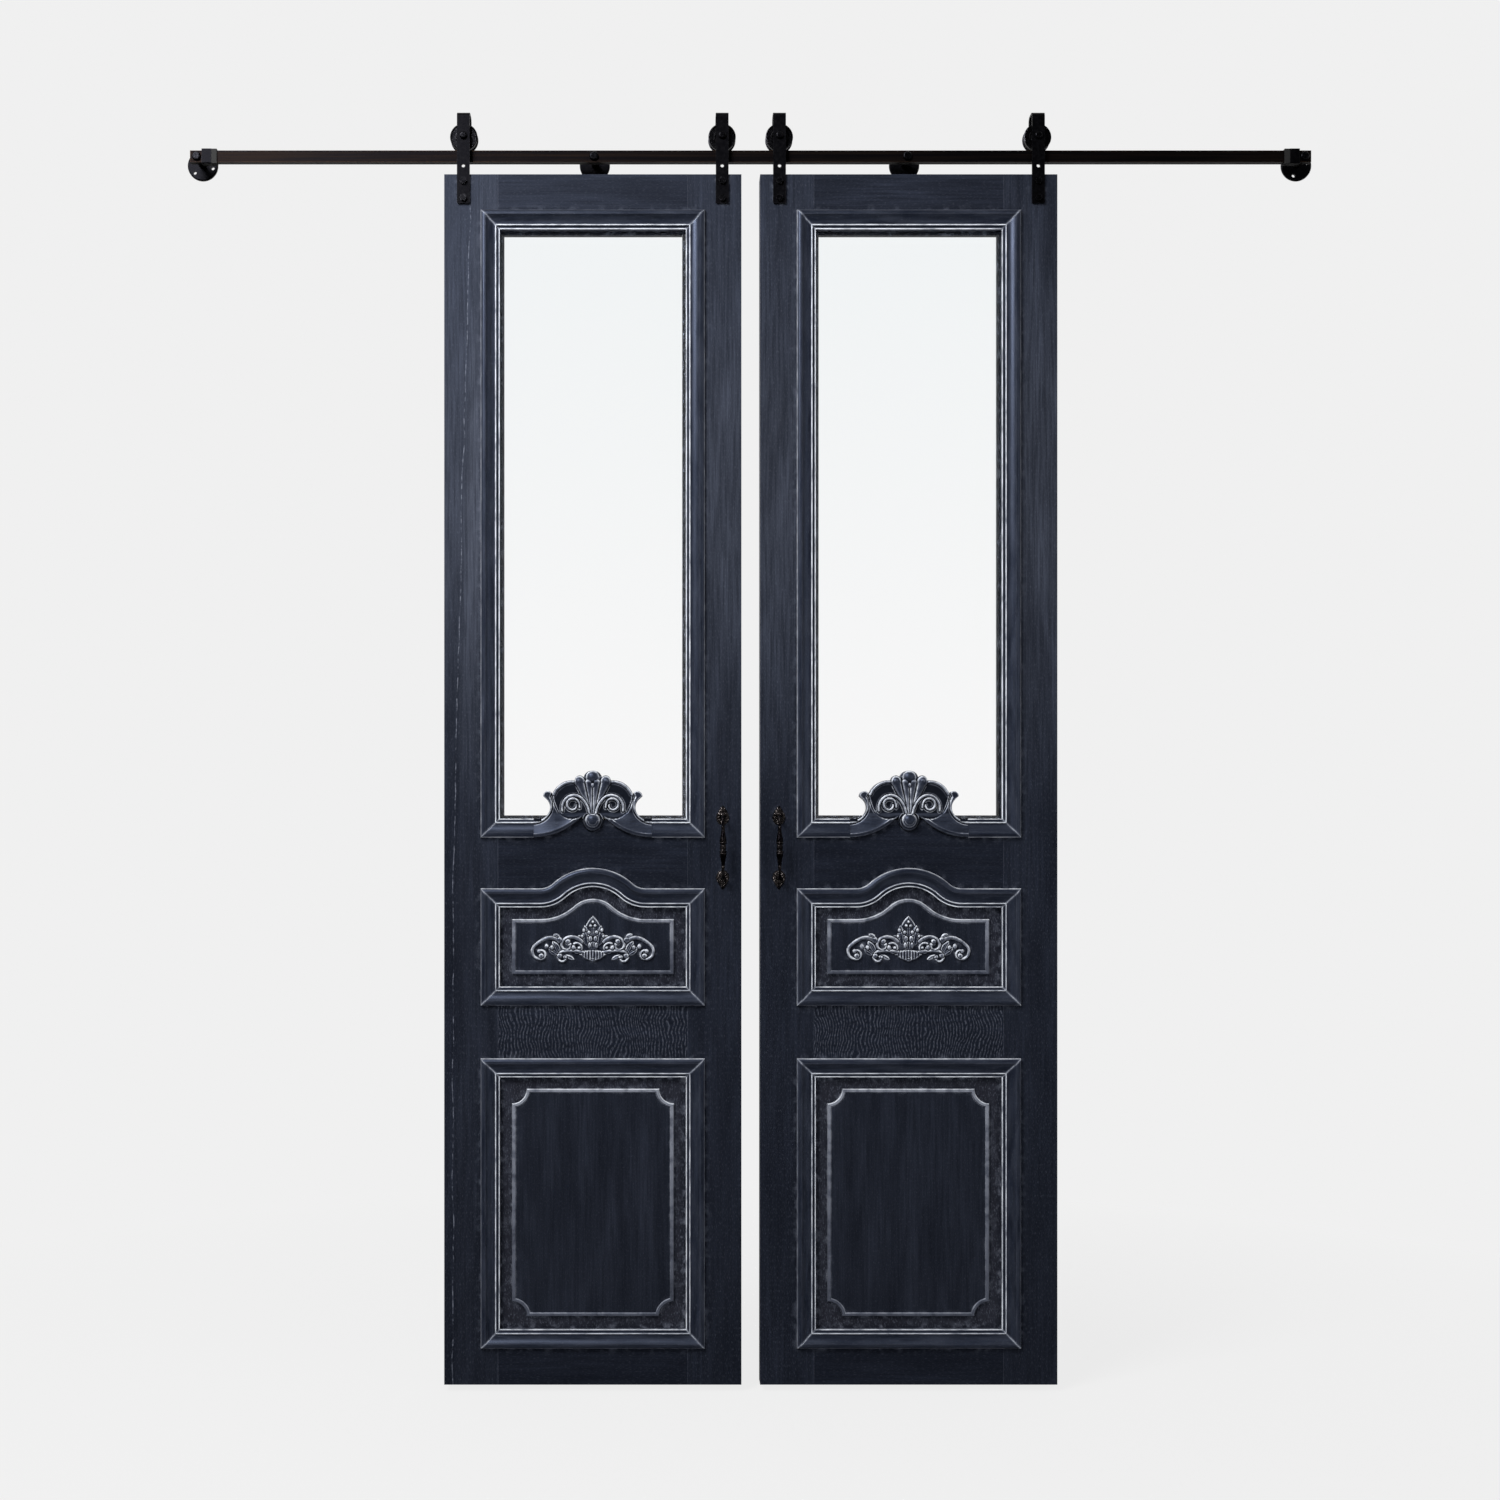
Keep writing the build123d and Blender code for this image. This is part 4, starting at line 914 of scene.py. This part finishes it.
def proud_of(read, points, reach):
    """How far each point stands over the mean height of a ring round it."""
    around = np.zeros(len(points))
    turns = np.linspace(0, math.tau, 12, endpoint=False)
    for turn in turns:
        around += read(points + reach * np.array((math.cos(turn), math.sin(turn))))
    return read(points) - around / len(turns)


def wax_and_painted_light_masks(read, points, ridge, hollow):
    """Wax on proud relief, painted highlight where it faces up, painted shade deep down; 0 to 1."""
    near, wide = proud_of(read, points, ridge), proud_of(read, points, hollow)
    # painted highlight: relief that faces up, towards the lamp, keeps its wax, and relief facing
    # down loses most of it
    fall = (read(points - (0, 0.8)) - read(points + (0, 0.8))) / 1.6
    wax = np.clip((near - 0.1) / 0.32, 0, 1) * np.clip(0.7 + 0.7 * fall, 0.25, 1)
    # painted shade in the hollows, where the ring round a point stands higher than the point
    dark = np.clip((-0.7 * wide - near) / 0.45, 0, 1)
    return wax, dark


def crest_mesh(step):
    """The crest as a closed mesh: relief in front, walls round it, stepped back."""
    right = crest_outline(step)
    left = [(-x, z) for x, z in reversed(right) if x > 0.01]
    outline = right + left
    low, high = np.min(outline, 0), np.max(outline, 0)
    xs, zs, inner = grid(low + step / 2, high, step)
    inner[:, 0] += np.repeat(np.arange(len(zs)) % 2, len(xs)) * step / 2
    inner = inner[inside_polygon(inner, outline)]
    to_edge, _ = nearest(inner, outline + outline[:1])
    inner = inner[to_edge > step * 0.55]
    room = (0, low[1] - 4), (CREST_HALF, high[1] + 4)
    read = sampled(lambda places: crest_heights(places, right), *room, 0.5)
    count = len(outline)
    edges = [(i, (i + 1) % count) for i in range(count)]
    found = delaunay_2d_cdt([Vector(p) for p in np.vstack([outline, inner])], edges, [], 1, 1e-5)
    flat = np.array([tuple(v) for v in found[0]])
    heights = read(flat)
    wax, dark = wax_and_painted_light_masks(read, flat, 1.4, 4.0)
    # painted shade: the low ground of the shell, under 10.5 mm high and more than 8 mm up, darkens
    # where it has no wax
    ground = smooth_step(10.5, 7.5, heights) * (flat[:, 1] > 8)
    dark = np.maximum(dark, 0.85 * ground * (1 - wax))
    vertices = [(x, LEAF_FRONT - h, z + CREST_BASE) for (x, z), h in zip(flat, heights)]
    faces = [tuple(face) for face in found[2]]
    split = LITE_OPENING[0] + STICK_GAP - CREST_BASE
    first = len(vertices)
    for x, z in outline:
        vertices.append((x, LEAF_FRONT + (LITE_DROP if z > split else 0), z + CREST_BASE))
    match = {source: index for index, sources in enumerate(found[3]) for source in sources}
    for i, j in edges:
        faces.append((match[i], match[j], first + j, first + i))
    # the walls get a little wax and a little painted shade
    masks = {"wax": list(wax) + [0.1] * count, "dark": list(dark) + [0.2] * count}
    upper = [first + i for i, (x, z) in enumerate(outline) if z > split]
    faces.append(tuple(reversed(upper)))
    return vertices, faces, masks


# Scroll ornament

# Scrolls: start, heading, turns, first and last width, rise
ORNAMENT_SCROLLS = (
    ((63, 39.5), 30, [(24, -54), (62, -20), (13.8, -150), (7.6, -150), (5.5, -60)], (6, 3.4), 4.8),
    ((19, 35.5), 48, [(26, -52), (17, -60), (9.5, -110), (6.2, -130)], (6, 3), 4.8),
    ((33, 32), 150, [(9, 110), (8.2, 110), (5.2, 110)], (3.6, 2.6), 4.4),
    ((18, 17), 14, [(90, -22), (11, -72), (7.8, -110), (5, -110)], (5.2, 3), 4.8),
)
# Leaves: place, length, width, lean and rise
ORNAMENT_LEAVES = (
    (60, 12, 24, 10, 55, 3.2),
    (59, 14, 26, 10, 28, 3.2),
    (58, 43, 13, 6, 62, 4.4),
    (70, 40, 12, 6, -30, 3.2),
    (94, 20, 15, 7, -150, 3.4),
    (40, 28, 15, 7, 40, 3.4),
    (33, 4, 18, 6, 64, 3.2),
    (16, 40, 12, 6, 60, 3.4),
    (3, 27, 28, 12, 34, 4.8),
    (3, 24, 42, 13, 16, 5.0),
)
# Berries and drops: place, radius and how much taller than wide
ORNAMENT_BERRIES = (
    (4.0, 63.5, 2.7, 1.1),
    (6.8, 52.0, 3.2, 1.1),
    (4.6, 40.5, 3.4, 1.6),
    (6.0, 29.5, 3.0, 1.7),
    (0, 70.5, 2.4, 1.2),
    (15.5, 55.5, 2.6, 1.5),
    (18.5, 45.0, 2.4, 1.2),
    (91, 10.5, 4.4, 1.0),
    (44.5, 36, 4.2, 1.0),
    (82, 27, 3.2, 1.3),
    (72, 25, 3.0, 1.3),
    (59, 11, 4.2, 1.0),
    (47.5, 8, 2.4, 1.0),
    (34.5, 25, 3.0, 1.4),
    (24, 24.5, 2.6, 1.0),
    (0, 5.5, 2.6, 1.0),
)
SUNK = -1.4  # how far the sheet lies under the field between the forms


def sloped_ridge(gap, half, rise):
    """A rounded ridge whose sides run on down under the field."""
    ratio = np.clip(gap / half, 0, 0.94)
    crown = rise - (1 - np.sqrt(1 - ratio**2)) * min(2.6, 0.72 * rise)
    side = np.clip((gap - half * 0.94) / 0.9, 0, None) * 3.2
    return np.maximum(crown - side, SUNK)


def leaf_ridge(points, x, z, size, width, lean, rise):
    """A pointed leaf with a sunk midrib."""
    turn = math.radians(lean)
    offset = points - (x, z)
    along = offset[:, 0] * math.sin(turn) + offset[:, 1] * math.cos(turn)
    across = np.abs(offset[:, 0] * math.cos(turn) - offset[:, 1] * math.sin(turn))
    share = np.clip(along / size, 0, 1)
    half = np.maximum(width * 2.1 * share**0.8 * (1 - share) ** 0.9, 0.05)
    height = sloped_ridge(across, half, rise * (0.75 + 0.25 * np.sin(share * math.pi)).mean())
    height = np.where((along < -0.5) | (along > size + 0.5), SUNK, height)
    return height - 0.9 * np.exp(-((across / 0.7) ** 2)) * (height > 0)


def ornament_heights(points):
    """Height of the ornament over its field at each point, in millimetres."""
    points = np.column_stack([np.abs(points[:, 0]), points[:, 1]])
    x, z = points[:, 0], points[:, 1]
    heights = np.full(len(points), SUNK)
    for place in ORNAMENT_LEAVES:
        heights = np.maximum(heights, leaf_ridge(points, *place))
    for start, heading, turns, (first, last), rise in ORNAMENT_SCROLLS:
        line = turning_line(start, heading, turns, 1.2)
        gap, share = nearest(points, line)
        half = (first + (last - first) * share) / 2
        ridge = sloped_ridge(gap, half, rise)
        ridge = ridge - 0.4 * np.exp(-(((gap - half * 0.35) / 0.5) ** 2)) * (ridge > 0)
        below = heights - 0.8 * (gap < half + 1)
        heights = np.where(ridge > SUNK, np.maximum(below, ridge), heights)
        eye = np.hypot(*(points - line[-1]).T)
        heights = np.maximum(heights, sloped_ridge(eye, last, rise + 0.2))
    heights = np.maximum(heights, sloped_ridge(np.hypot(x - 59.5, z - 38.5), 5.0, 5.2))
    heights = np.maximum(heights, leaf_ridge(points, 0, 18, 63, 26, 0, 3.4))
    top = np.interp(x, [0, 14, 24], [22, 20, 13])
    bottom = np.interp(x, [0, 14, 24], [0, 5, 13])
    inset = np.minimum(top - z, z - bottom)
    ribs = 1.5 * np.abs(np.cos(math.pi * x / 5.0)) - 1.5
    shell = np.where(inset > -0.6, np.minimum(4.8 + ribs, inset * 2.4 + 0.6), SUNK)
    heights = np.maximum(heights, shell)
    for bx, bz, size, tall in ORNAMENT_BERRIES:
        gap = np.hypot(x - bx, (z - bz) / tall)
        heights = heights - 1.4 * np.exp(-(((gap - size) / 0.8) ** 2)) * (heights > 1.0)
        heights = np.maximum(heights, sloped_ridge(gap, size, 5.6))
    return np.maximum(heights, SUNK)


def ornament_mesh(step):
    """The ornament as a sheet of relief that sinks under the field beside its forms."""
    half, top = 112.0, 84.0
    xs, _, points = grid((-half, -3), (half, top), step)
    read = sampled(ornament_heights, (0, -6), (half + 2, top + 4), 0.5)
    heights = read(points)
    # wax with painted highlight where the relief faces up, and painted shade in the hollows
    wax, dark = wax_and_painted_light_masks(read, points, 1.5, 3.2)
    faces, order = sheet_faces(heights, len(xs), SUNK + 0.2)
    vertices = []
    for i in order:
        vertices.append((points[i][0], FIELD_FRONT - heights[i], points[i][1] + ORNAMENT_BASE))
    masks = {"wax": [wax[i] if heights[i] > 0.4 else 0 for i in order], "dark": dark[order]}
    return vertices, faces, masks


# Pulls


def turned(stations, turns=28):
    """A round body through places with their radii, closed at both ends."""
    vertices, faces = [], []
    path = [Vector(place) for place, _ in stations]
    for index, (place, (_, radius)) in enumerate(zip(path, stations)):
        before, after = path[max(index - 1, 0)], path[min(index + 1, len(path) - 1)]
        way = (after - before).normalized()
        side = Vector((1, 0, 0))
        up = way.cross(side).normalized()
        for turn in range(turns):
            angle = math.tau * turn / turns
            vertices.append(tuple(place + radius * (math.cos(angle) * side + math.sin(angle) * up)))
    for row in range(len(path) - 1):
        for turn in range(turns):
            a, b = row * turns + turn, row * turns + (turn + 1) % turns
            faces.append((a, b, b + turns, a + turns))
    faces.append(tuple(reversed(range(turns))))
    faces.append(tuple(range((len(path) - 1) * turns, len(path) * turns)))
    return vertices, faces


def grip_path():
    """Places and radii from the upper plate round the bow to the lower plate, in mm."""
    reach, bend = -39.2, 9.0
    post = [(-13, 5.6), (-16, 4.6), (-21, 3.4), (reach + bend, 3.0)]
    half = [((0, y, PULL_POST), radius) for y, radius in post]
    for angle in np.linspace(0, math.pi / 2, 7)[1:]:
        y = reach + bend - bend * math.sin(angle)
        z = PULL_POST - bend + bend * math.cos(angle)
        half.append(((0, y, z), float(2.9 - 0.35 * angle)))
    neck = [(40, 2.3), (37, 2.4), (36, 3.3), (34.6, 3.5), (33.4, 2.9), (30, 3.1), (24, 3.9)]
    bell = [(18, 5.1), (13, 6.0), (10.6, 6.2), (9.3, 5.6), (8.6, 6.5), (7.6, 6.8), (6.6, 6.3)]
    knuckle = [(5.8, 5.0), (4.4, 4.6), (3.0, 5.2), (0, 5.5)]
    half += [((0, reach, z), radius) for z, radius in neck + bell + knuckle]
    lower = [((x, y, -z), radius) for (x, y, z), radius in reversed(half[:-1])]
    return half + lower


def plate_mesh(sign):
    """A leaf-shaped end plate in relief: a midrib, side veins and a scalloped edge."""
    tip, foot, wide = 21.0, 13.0, 11.0
    xs, _, points = grid((-wide - 1, -foot - 1), (wide + 1, tip + 1), 0.7)
    x, z = np.abs(points[:, 0]), points[:, 1]
    above = 1 - (np.clip(z, 0, tip) / tip) ** 1.6
    below = np.sqrt(np.clip(1 - (z / foot) ** 2, 0, 1))
    inset = wide * np.where(z > 0, above, below) * (1 + 0.05 * np.cos(z * 1.1)) - x
    heights = np.where(inset > 0, 1.2 + 2.6 * (1 - np.exp(-inset / 2.2)), inset * 2.0)
    heights += 0.9 * np.exp(-((x / 1.2) ** 2)) * (inset > 0)
    heights += 0.8 * np.cos((z + x * 1.1) * 1.5) * smooth_step(1, 3, x) * (inset > 1)
    heights = np.clip(heights, -1, 4.6)
    faces, order = sheet_faces(heights, len(xs), 0)
    vertices = []
    for i in order:
        (across, up), height = points[i], max(heights[i], 0.0)
        vertices.append((across, LEAF_FRONT - height, sign * (PULL_POST + up)))
    if sign < 0:
        faces = [tuple(reversed(face)) for face in faces]
    return vertices, faces


def pull_mesh():
    """A cast pull, in mm from its own middle."""
    return joined(joined(turned(grip_path()), plate_mesh(1)), plate_mesh(-1))


# Operators


class BARNDOOR_OT_joinery(bpy.types.Operator):
    """Gives the stiles, rails, panels and glazing stops their waxed finish"""

    bl_idname = "barndoor.joinery"
    bl_label = "Finish the joinery"

    def execute(self, context):
        woods = {}
        for board, look in BOARDS.items():
            woods[board] = waxed_wood("limewaxed_oak_" + board, **look)
        for side in LEAF_X:
            for kind, board in BOARD_OF.items():
                dress(f"{side}_{kind}", woods[board])
        dress("left_stile_outer", woods["glued_stile"])
        return {"FINISHED"}


def dress(node, material):
    """Puts a material on every slot of a CAD node."""
    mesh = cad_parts[node].data
    mesh.materials.clear()
    mesh.materials.append(material)


class BARNDOOR_OT_mouldings(bpy.types.Operator):
    """Runs the mitred mouldings round the lites and panels"""

    bl_idname = "barndoor.mouldings"
    bl_label = "Run the mouldings"

    def execute(self, context):
        waxed = waxed_carving("limewaxed_oak_moulding", "Z", 0.035, along_sticks=True)
        for side in LEAF_X:
            for kind, settings in MOULDINGS.items():
                moulding_piece(side, kind, waxed, **settings)
        return {"FINISHED"}


def carve(kind, material, vertices, faces, masks):
    """Puts one carving on both doors in place of its plain CAD nodes."""
    for side in LEAF_X:
        node = f"{side}_{kind}"
        make_piece(node + "_carved", vertices, faces, side, material, node, masks)


class BARNDOOR_OT_crests(bpy.types.Operator):
    """Carves the shell crests over the lites' bottom mouldings"""

    bl_idname = "barndoor.crests"
    bl_label = "Carve the crests"

    def execute(self, context):
        waxed = waxed_carving("limewaxed_oak_carving", "X", 0.05, rough=0.36)
        step = context.scene.barn_door_carving.crest_step * 1000
        carve("lite_crest", waxed, *crest_mesh(step))
        return {"FINISHED"}


class BARNDOOR_OT_ornaments(bpy.types.Operator):
    """Carves the scroll ornaments on the upper panels"""

    bl_idname = "barndoor.ornaments"
    bl_label = "Carve the scroll ornaments"

    def execute(self, context):
        waxed = waxed_carving("limewaxed_oak_ornament", "X", 0.0)
        step = context.scene.barn_door_carving.ornament_step * 1000
        carve("applique", waxed, *ornament_mesh(step))
        return {"FINISHED"}


class BARNDOOR_OT_pulls(bpy.types.Operator):
    """Casts the pull handles and blackens their screws"""

    bl_idname = "barndoor.pulls"
    bl_label = "Cast the pulls"

    def execute(self, context):
        cast = rubbed_metal("sand_cast_iron", pits=1.6)
        vertices, faces = pull_mesh()
        for side, sign in (("left", 1), ("right", -1)):
            placed = [(x + sign * PULL_X, y, z + PULL_Z) for x, y, z in vertices]
            node = side + "_handle"
            make_piece(node + "_cast", placed, faces, side, cast, node)
            dress(node + "_screws", cast)
        return {"FINISHED"}


class BARNDOOR_OT_hardware(bpy.types.Operator):
    """Finishes the bar, straps, wheels, bolts, flanges, stops and glass"""

    bl_idname = "barndoor.hardware"
    bl_label = "Finish the hardware and glass"

    def execute(self, context):
        turned_iron = rubbed_metal("blackened_turned_iron")
        by_slot = {
            "blackened_iron": rubbed_metal("blackened_forged_iron"),
            "bronzed_bar": rubbed_metal("bronzed_drawn_steel", streak=(mm(260), mm(4), mm(4))),
            "wheel_iron": turned_iron,
            "bearing_brass": rubbed_metal("turned_bearing_brass"),
            "black_rubber": moulded_rubber(),
            "clear_glass": float_glass(),
        }
        for node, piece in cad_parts.items():
            slot = piece.data.materials[0].name.split(".")[0] if piece.data.materials else ""
            if slot in by_slot:
                dress(node, turned_iron if "bolt" in node else by_slot[slot])
        return {"FINISHED"}


class BARNDOOR_OT_stage(bpy.types.Operator):
    """Sets the floor, the lamps, the pale surround and the camera"""

    bl_idname = "barndoor.stage"
    bl_label = "Set the stage"

    def execute(self, context):
        stage = context.scene.barn_door_stage
        lay_floor(stage)
        light_world(context.scene, stage)
        aim_lamp("key", (-2.0, -2.6, 3.7), (0, 0, 1.2), 1.6, stage.key_power)
        aim_lamp("fill", (2.6, -2.6, 1.6), (0, 0, 1.0), 2.0, stage.fill_power)
        place_camera(context.scene, stage)
        context.scene.view_settings.view_transform = "Standard"
        return {"FINISHED"}


def lay_floor(stage):
    """A wide pale floor under the leaves that keeps their shadow and fades into the backdrop.

    Seen by a mirroring face it is as dim as the room.
    """
    reach = 6.0
    square = ((-reach, -reach), (reach, -reach), (reach, reach), (-reach, reach))
    mesh = bpy.data.meshes.new("floor")
    mesh.from_pydata([(x, y, -stage.floor_gap) for x, y in square], [], [(0, 1, 2, 3)])
    floor = bpy.data.objects.new("floor", mesh)
    bpy.context.collection.objects.link(floor)
    material = bpy.data.materials.new("painted_studio_floor")
    add = fresh_nodes(material)
    far = add("ramp", add("length", add("place")), 0.8, 2.2, 0.92, 1.0)
    direct = add("greatest", add("ray"), add("ray", out="Is Transmission Ray"))
    glow = add("glow", stage.backdrop, 1.0)
    seen = add("either", add("times", far, direct), add("matt", stage.backdrop), glow)
    mirrored = add("exceeds", add("ray", out="Is Glossy Ray"), direct)
    add("surface", add("either", mirrored, seen, add("glow", stage.backdrop, stage.room)))
    mesh.materials.append(material)


def light_world(scene, stage):
    """The pale surround, different for each kind of ray.

    Seen directly it has the backdrop's colour, mirrored it is a dim room in front, and
    for the rest it is soft even light.
    """
    scene.world = bpy.data.worlds.new("surround")
    add = fresh_nodes(scene.world)
    through = add("ray", out="Is Transmission Ray")
    behind_glass = add("sky", linear("#FAFAFA"), 1.0)
    seen = add("either", through, add("sky", stage.backdrop, 1.0), behind_glass)
    room = add("ramp", add("part", add("direction"), out="Y"), -0.6, 0.3, stage.room, 1.0)
    soft = add("sky", (1, 1, 1, 1), stage.ambient)
    glossy = add("either", add("ray", out="Is Glossy Ray"), soft, add("sky", stage.backdrop, room))
    add("surround", add("either", add("greatest", add("ray"), through), glossy, seen))


def aim_lamp(name, place, target, size, power):
    """A square soft lamp turned towards a point."""
    lamp = bpy.data.lights.new(name, "AREA")
    lamp.size = size
    lamp.energy = power
    holder = bpy.data.objects.new(name, lamp)
    holder.location = place
    holder.rotation_euler = (Vector(target) - Vector(place)).to_track_quat("-Z", "Y").to_euler()
    bpy.context.collection.objects.link(holder)


def place_camera(scene, stage):
    """A level camera where the photograph was taken, shifted as it is framed."""
    middle_x, middle_z = mm(-1.4), mm(1119)
    data = bpy.data.cameras.new("camera")
    data.lens = 36 * stage.camera_distance / stage.view_width
    data.shift_x = (middle_x + stage.camera_side) / stage.view_width
    data.shift_y = (middle_z - stage.camera_height) / stage.view_width
    camera = bpy.data.objects.new("camera", data)
    back = mm(LEAF_FRONT) - stage.camera_distance
    camera.location = (-stage.camera_side, back, stage.camera_height)
    camera.rotation_euler = (math.pi / 2, 0, 0)
    bpy.context.collection.objects.link(camera)
    scene.camera = camera


class BARNDOOR_PT_panel(bpy.types.Panel):
    """Lists the steps and settings of the doors"""

    bl_idname = "BARNDOOR_PT_panel"
    bl_label = "Barn doors"
    bl_space_type = "VIEW_3D"
    bl_region_type = "UI"
    bl_category = "Barn doors"

    def draw(self, context):
        for operator in OPERATORS:
            self.layout.operator(operator.bl_idname)
        for name, group in SETTINGS.items():
            box = self.layout.box()
            for prop in group.__annotations__:
                box.prop(getattr(context.scene, name), prop)


SETTINGS = {
    "barn_door_wood": BarnDoorWood,
    "barn_door_carving": BarnDoorCarving,
    "barn_door_metal": BarnDoorMetal,
    "barn_door_stage": BarnDoorStage,
}
OPERATORS = (
    BARNDOOR_OT_joinery,
    BARNDOOR_OT_mouldings,
    BARNDOOR_OT_crests,
    BARNDOOR_OT_ornaments,
    BARNDOOR_OT_pulls,
    BARNDOOR_OT_hardware,
    BARNDOOR_OT_stage,
)


def register():
    for name, group in SETTINGS.items():
        bpy.utils.register_class(group)
        setattr(bpy.types.Scene, name, bpy.props.PointerProperty(type=group))
    for kind in OPERATORS + (BARNDOOR_PT_panel,):
        bpy.utils.register_class(kind)


def unregister():
    for kind in reversed(OPERATORS + (BARNDOOR_PT_panel,)):
        bpy.utils.unregister_class(kind)
    for name, group in SETTINGS.items():
        delattr(bpy.types.Scene, name)
        bpy.utils.unregister_class(group)


def main():
    """Dresses the loaded frame."""
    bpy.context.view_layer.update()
    register()
    for operator in OPERATORS:
        group, name = operator.bl_idname.split(".")
        getattr(getattr(bpy.ops, group), name)()


if __name__ == "__main__":
    main()
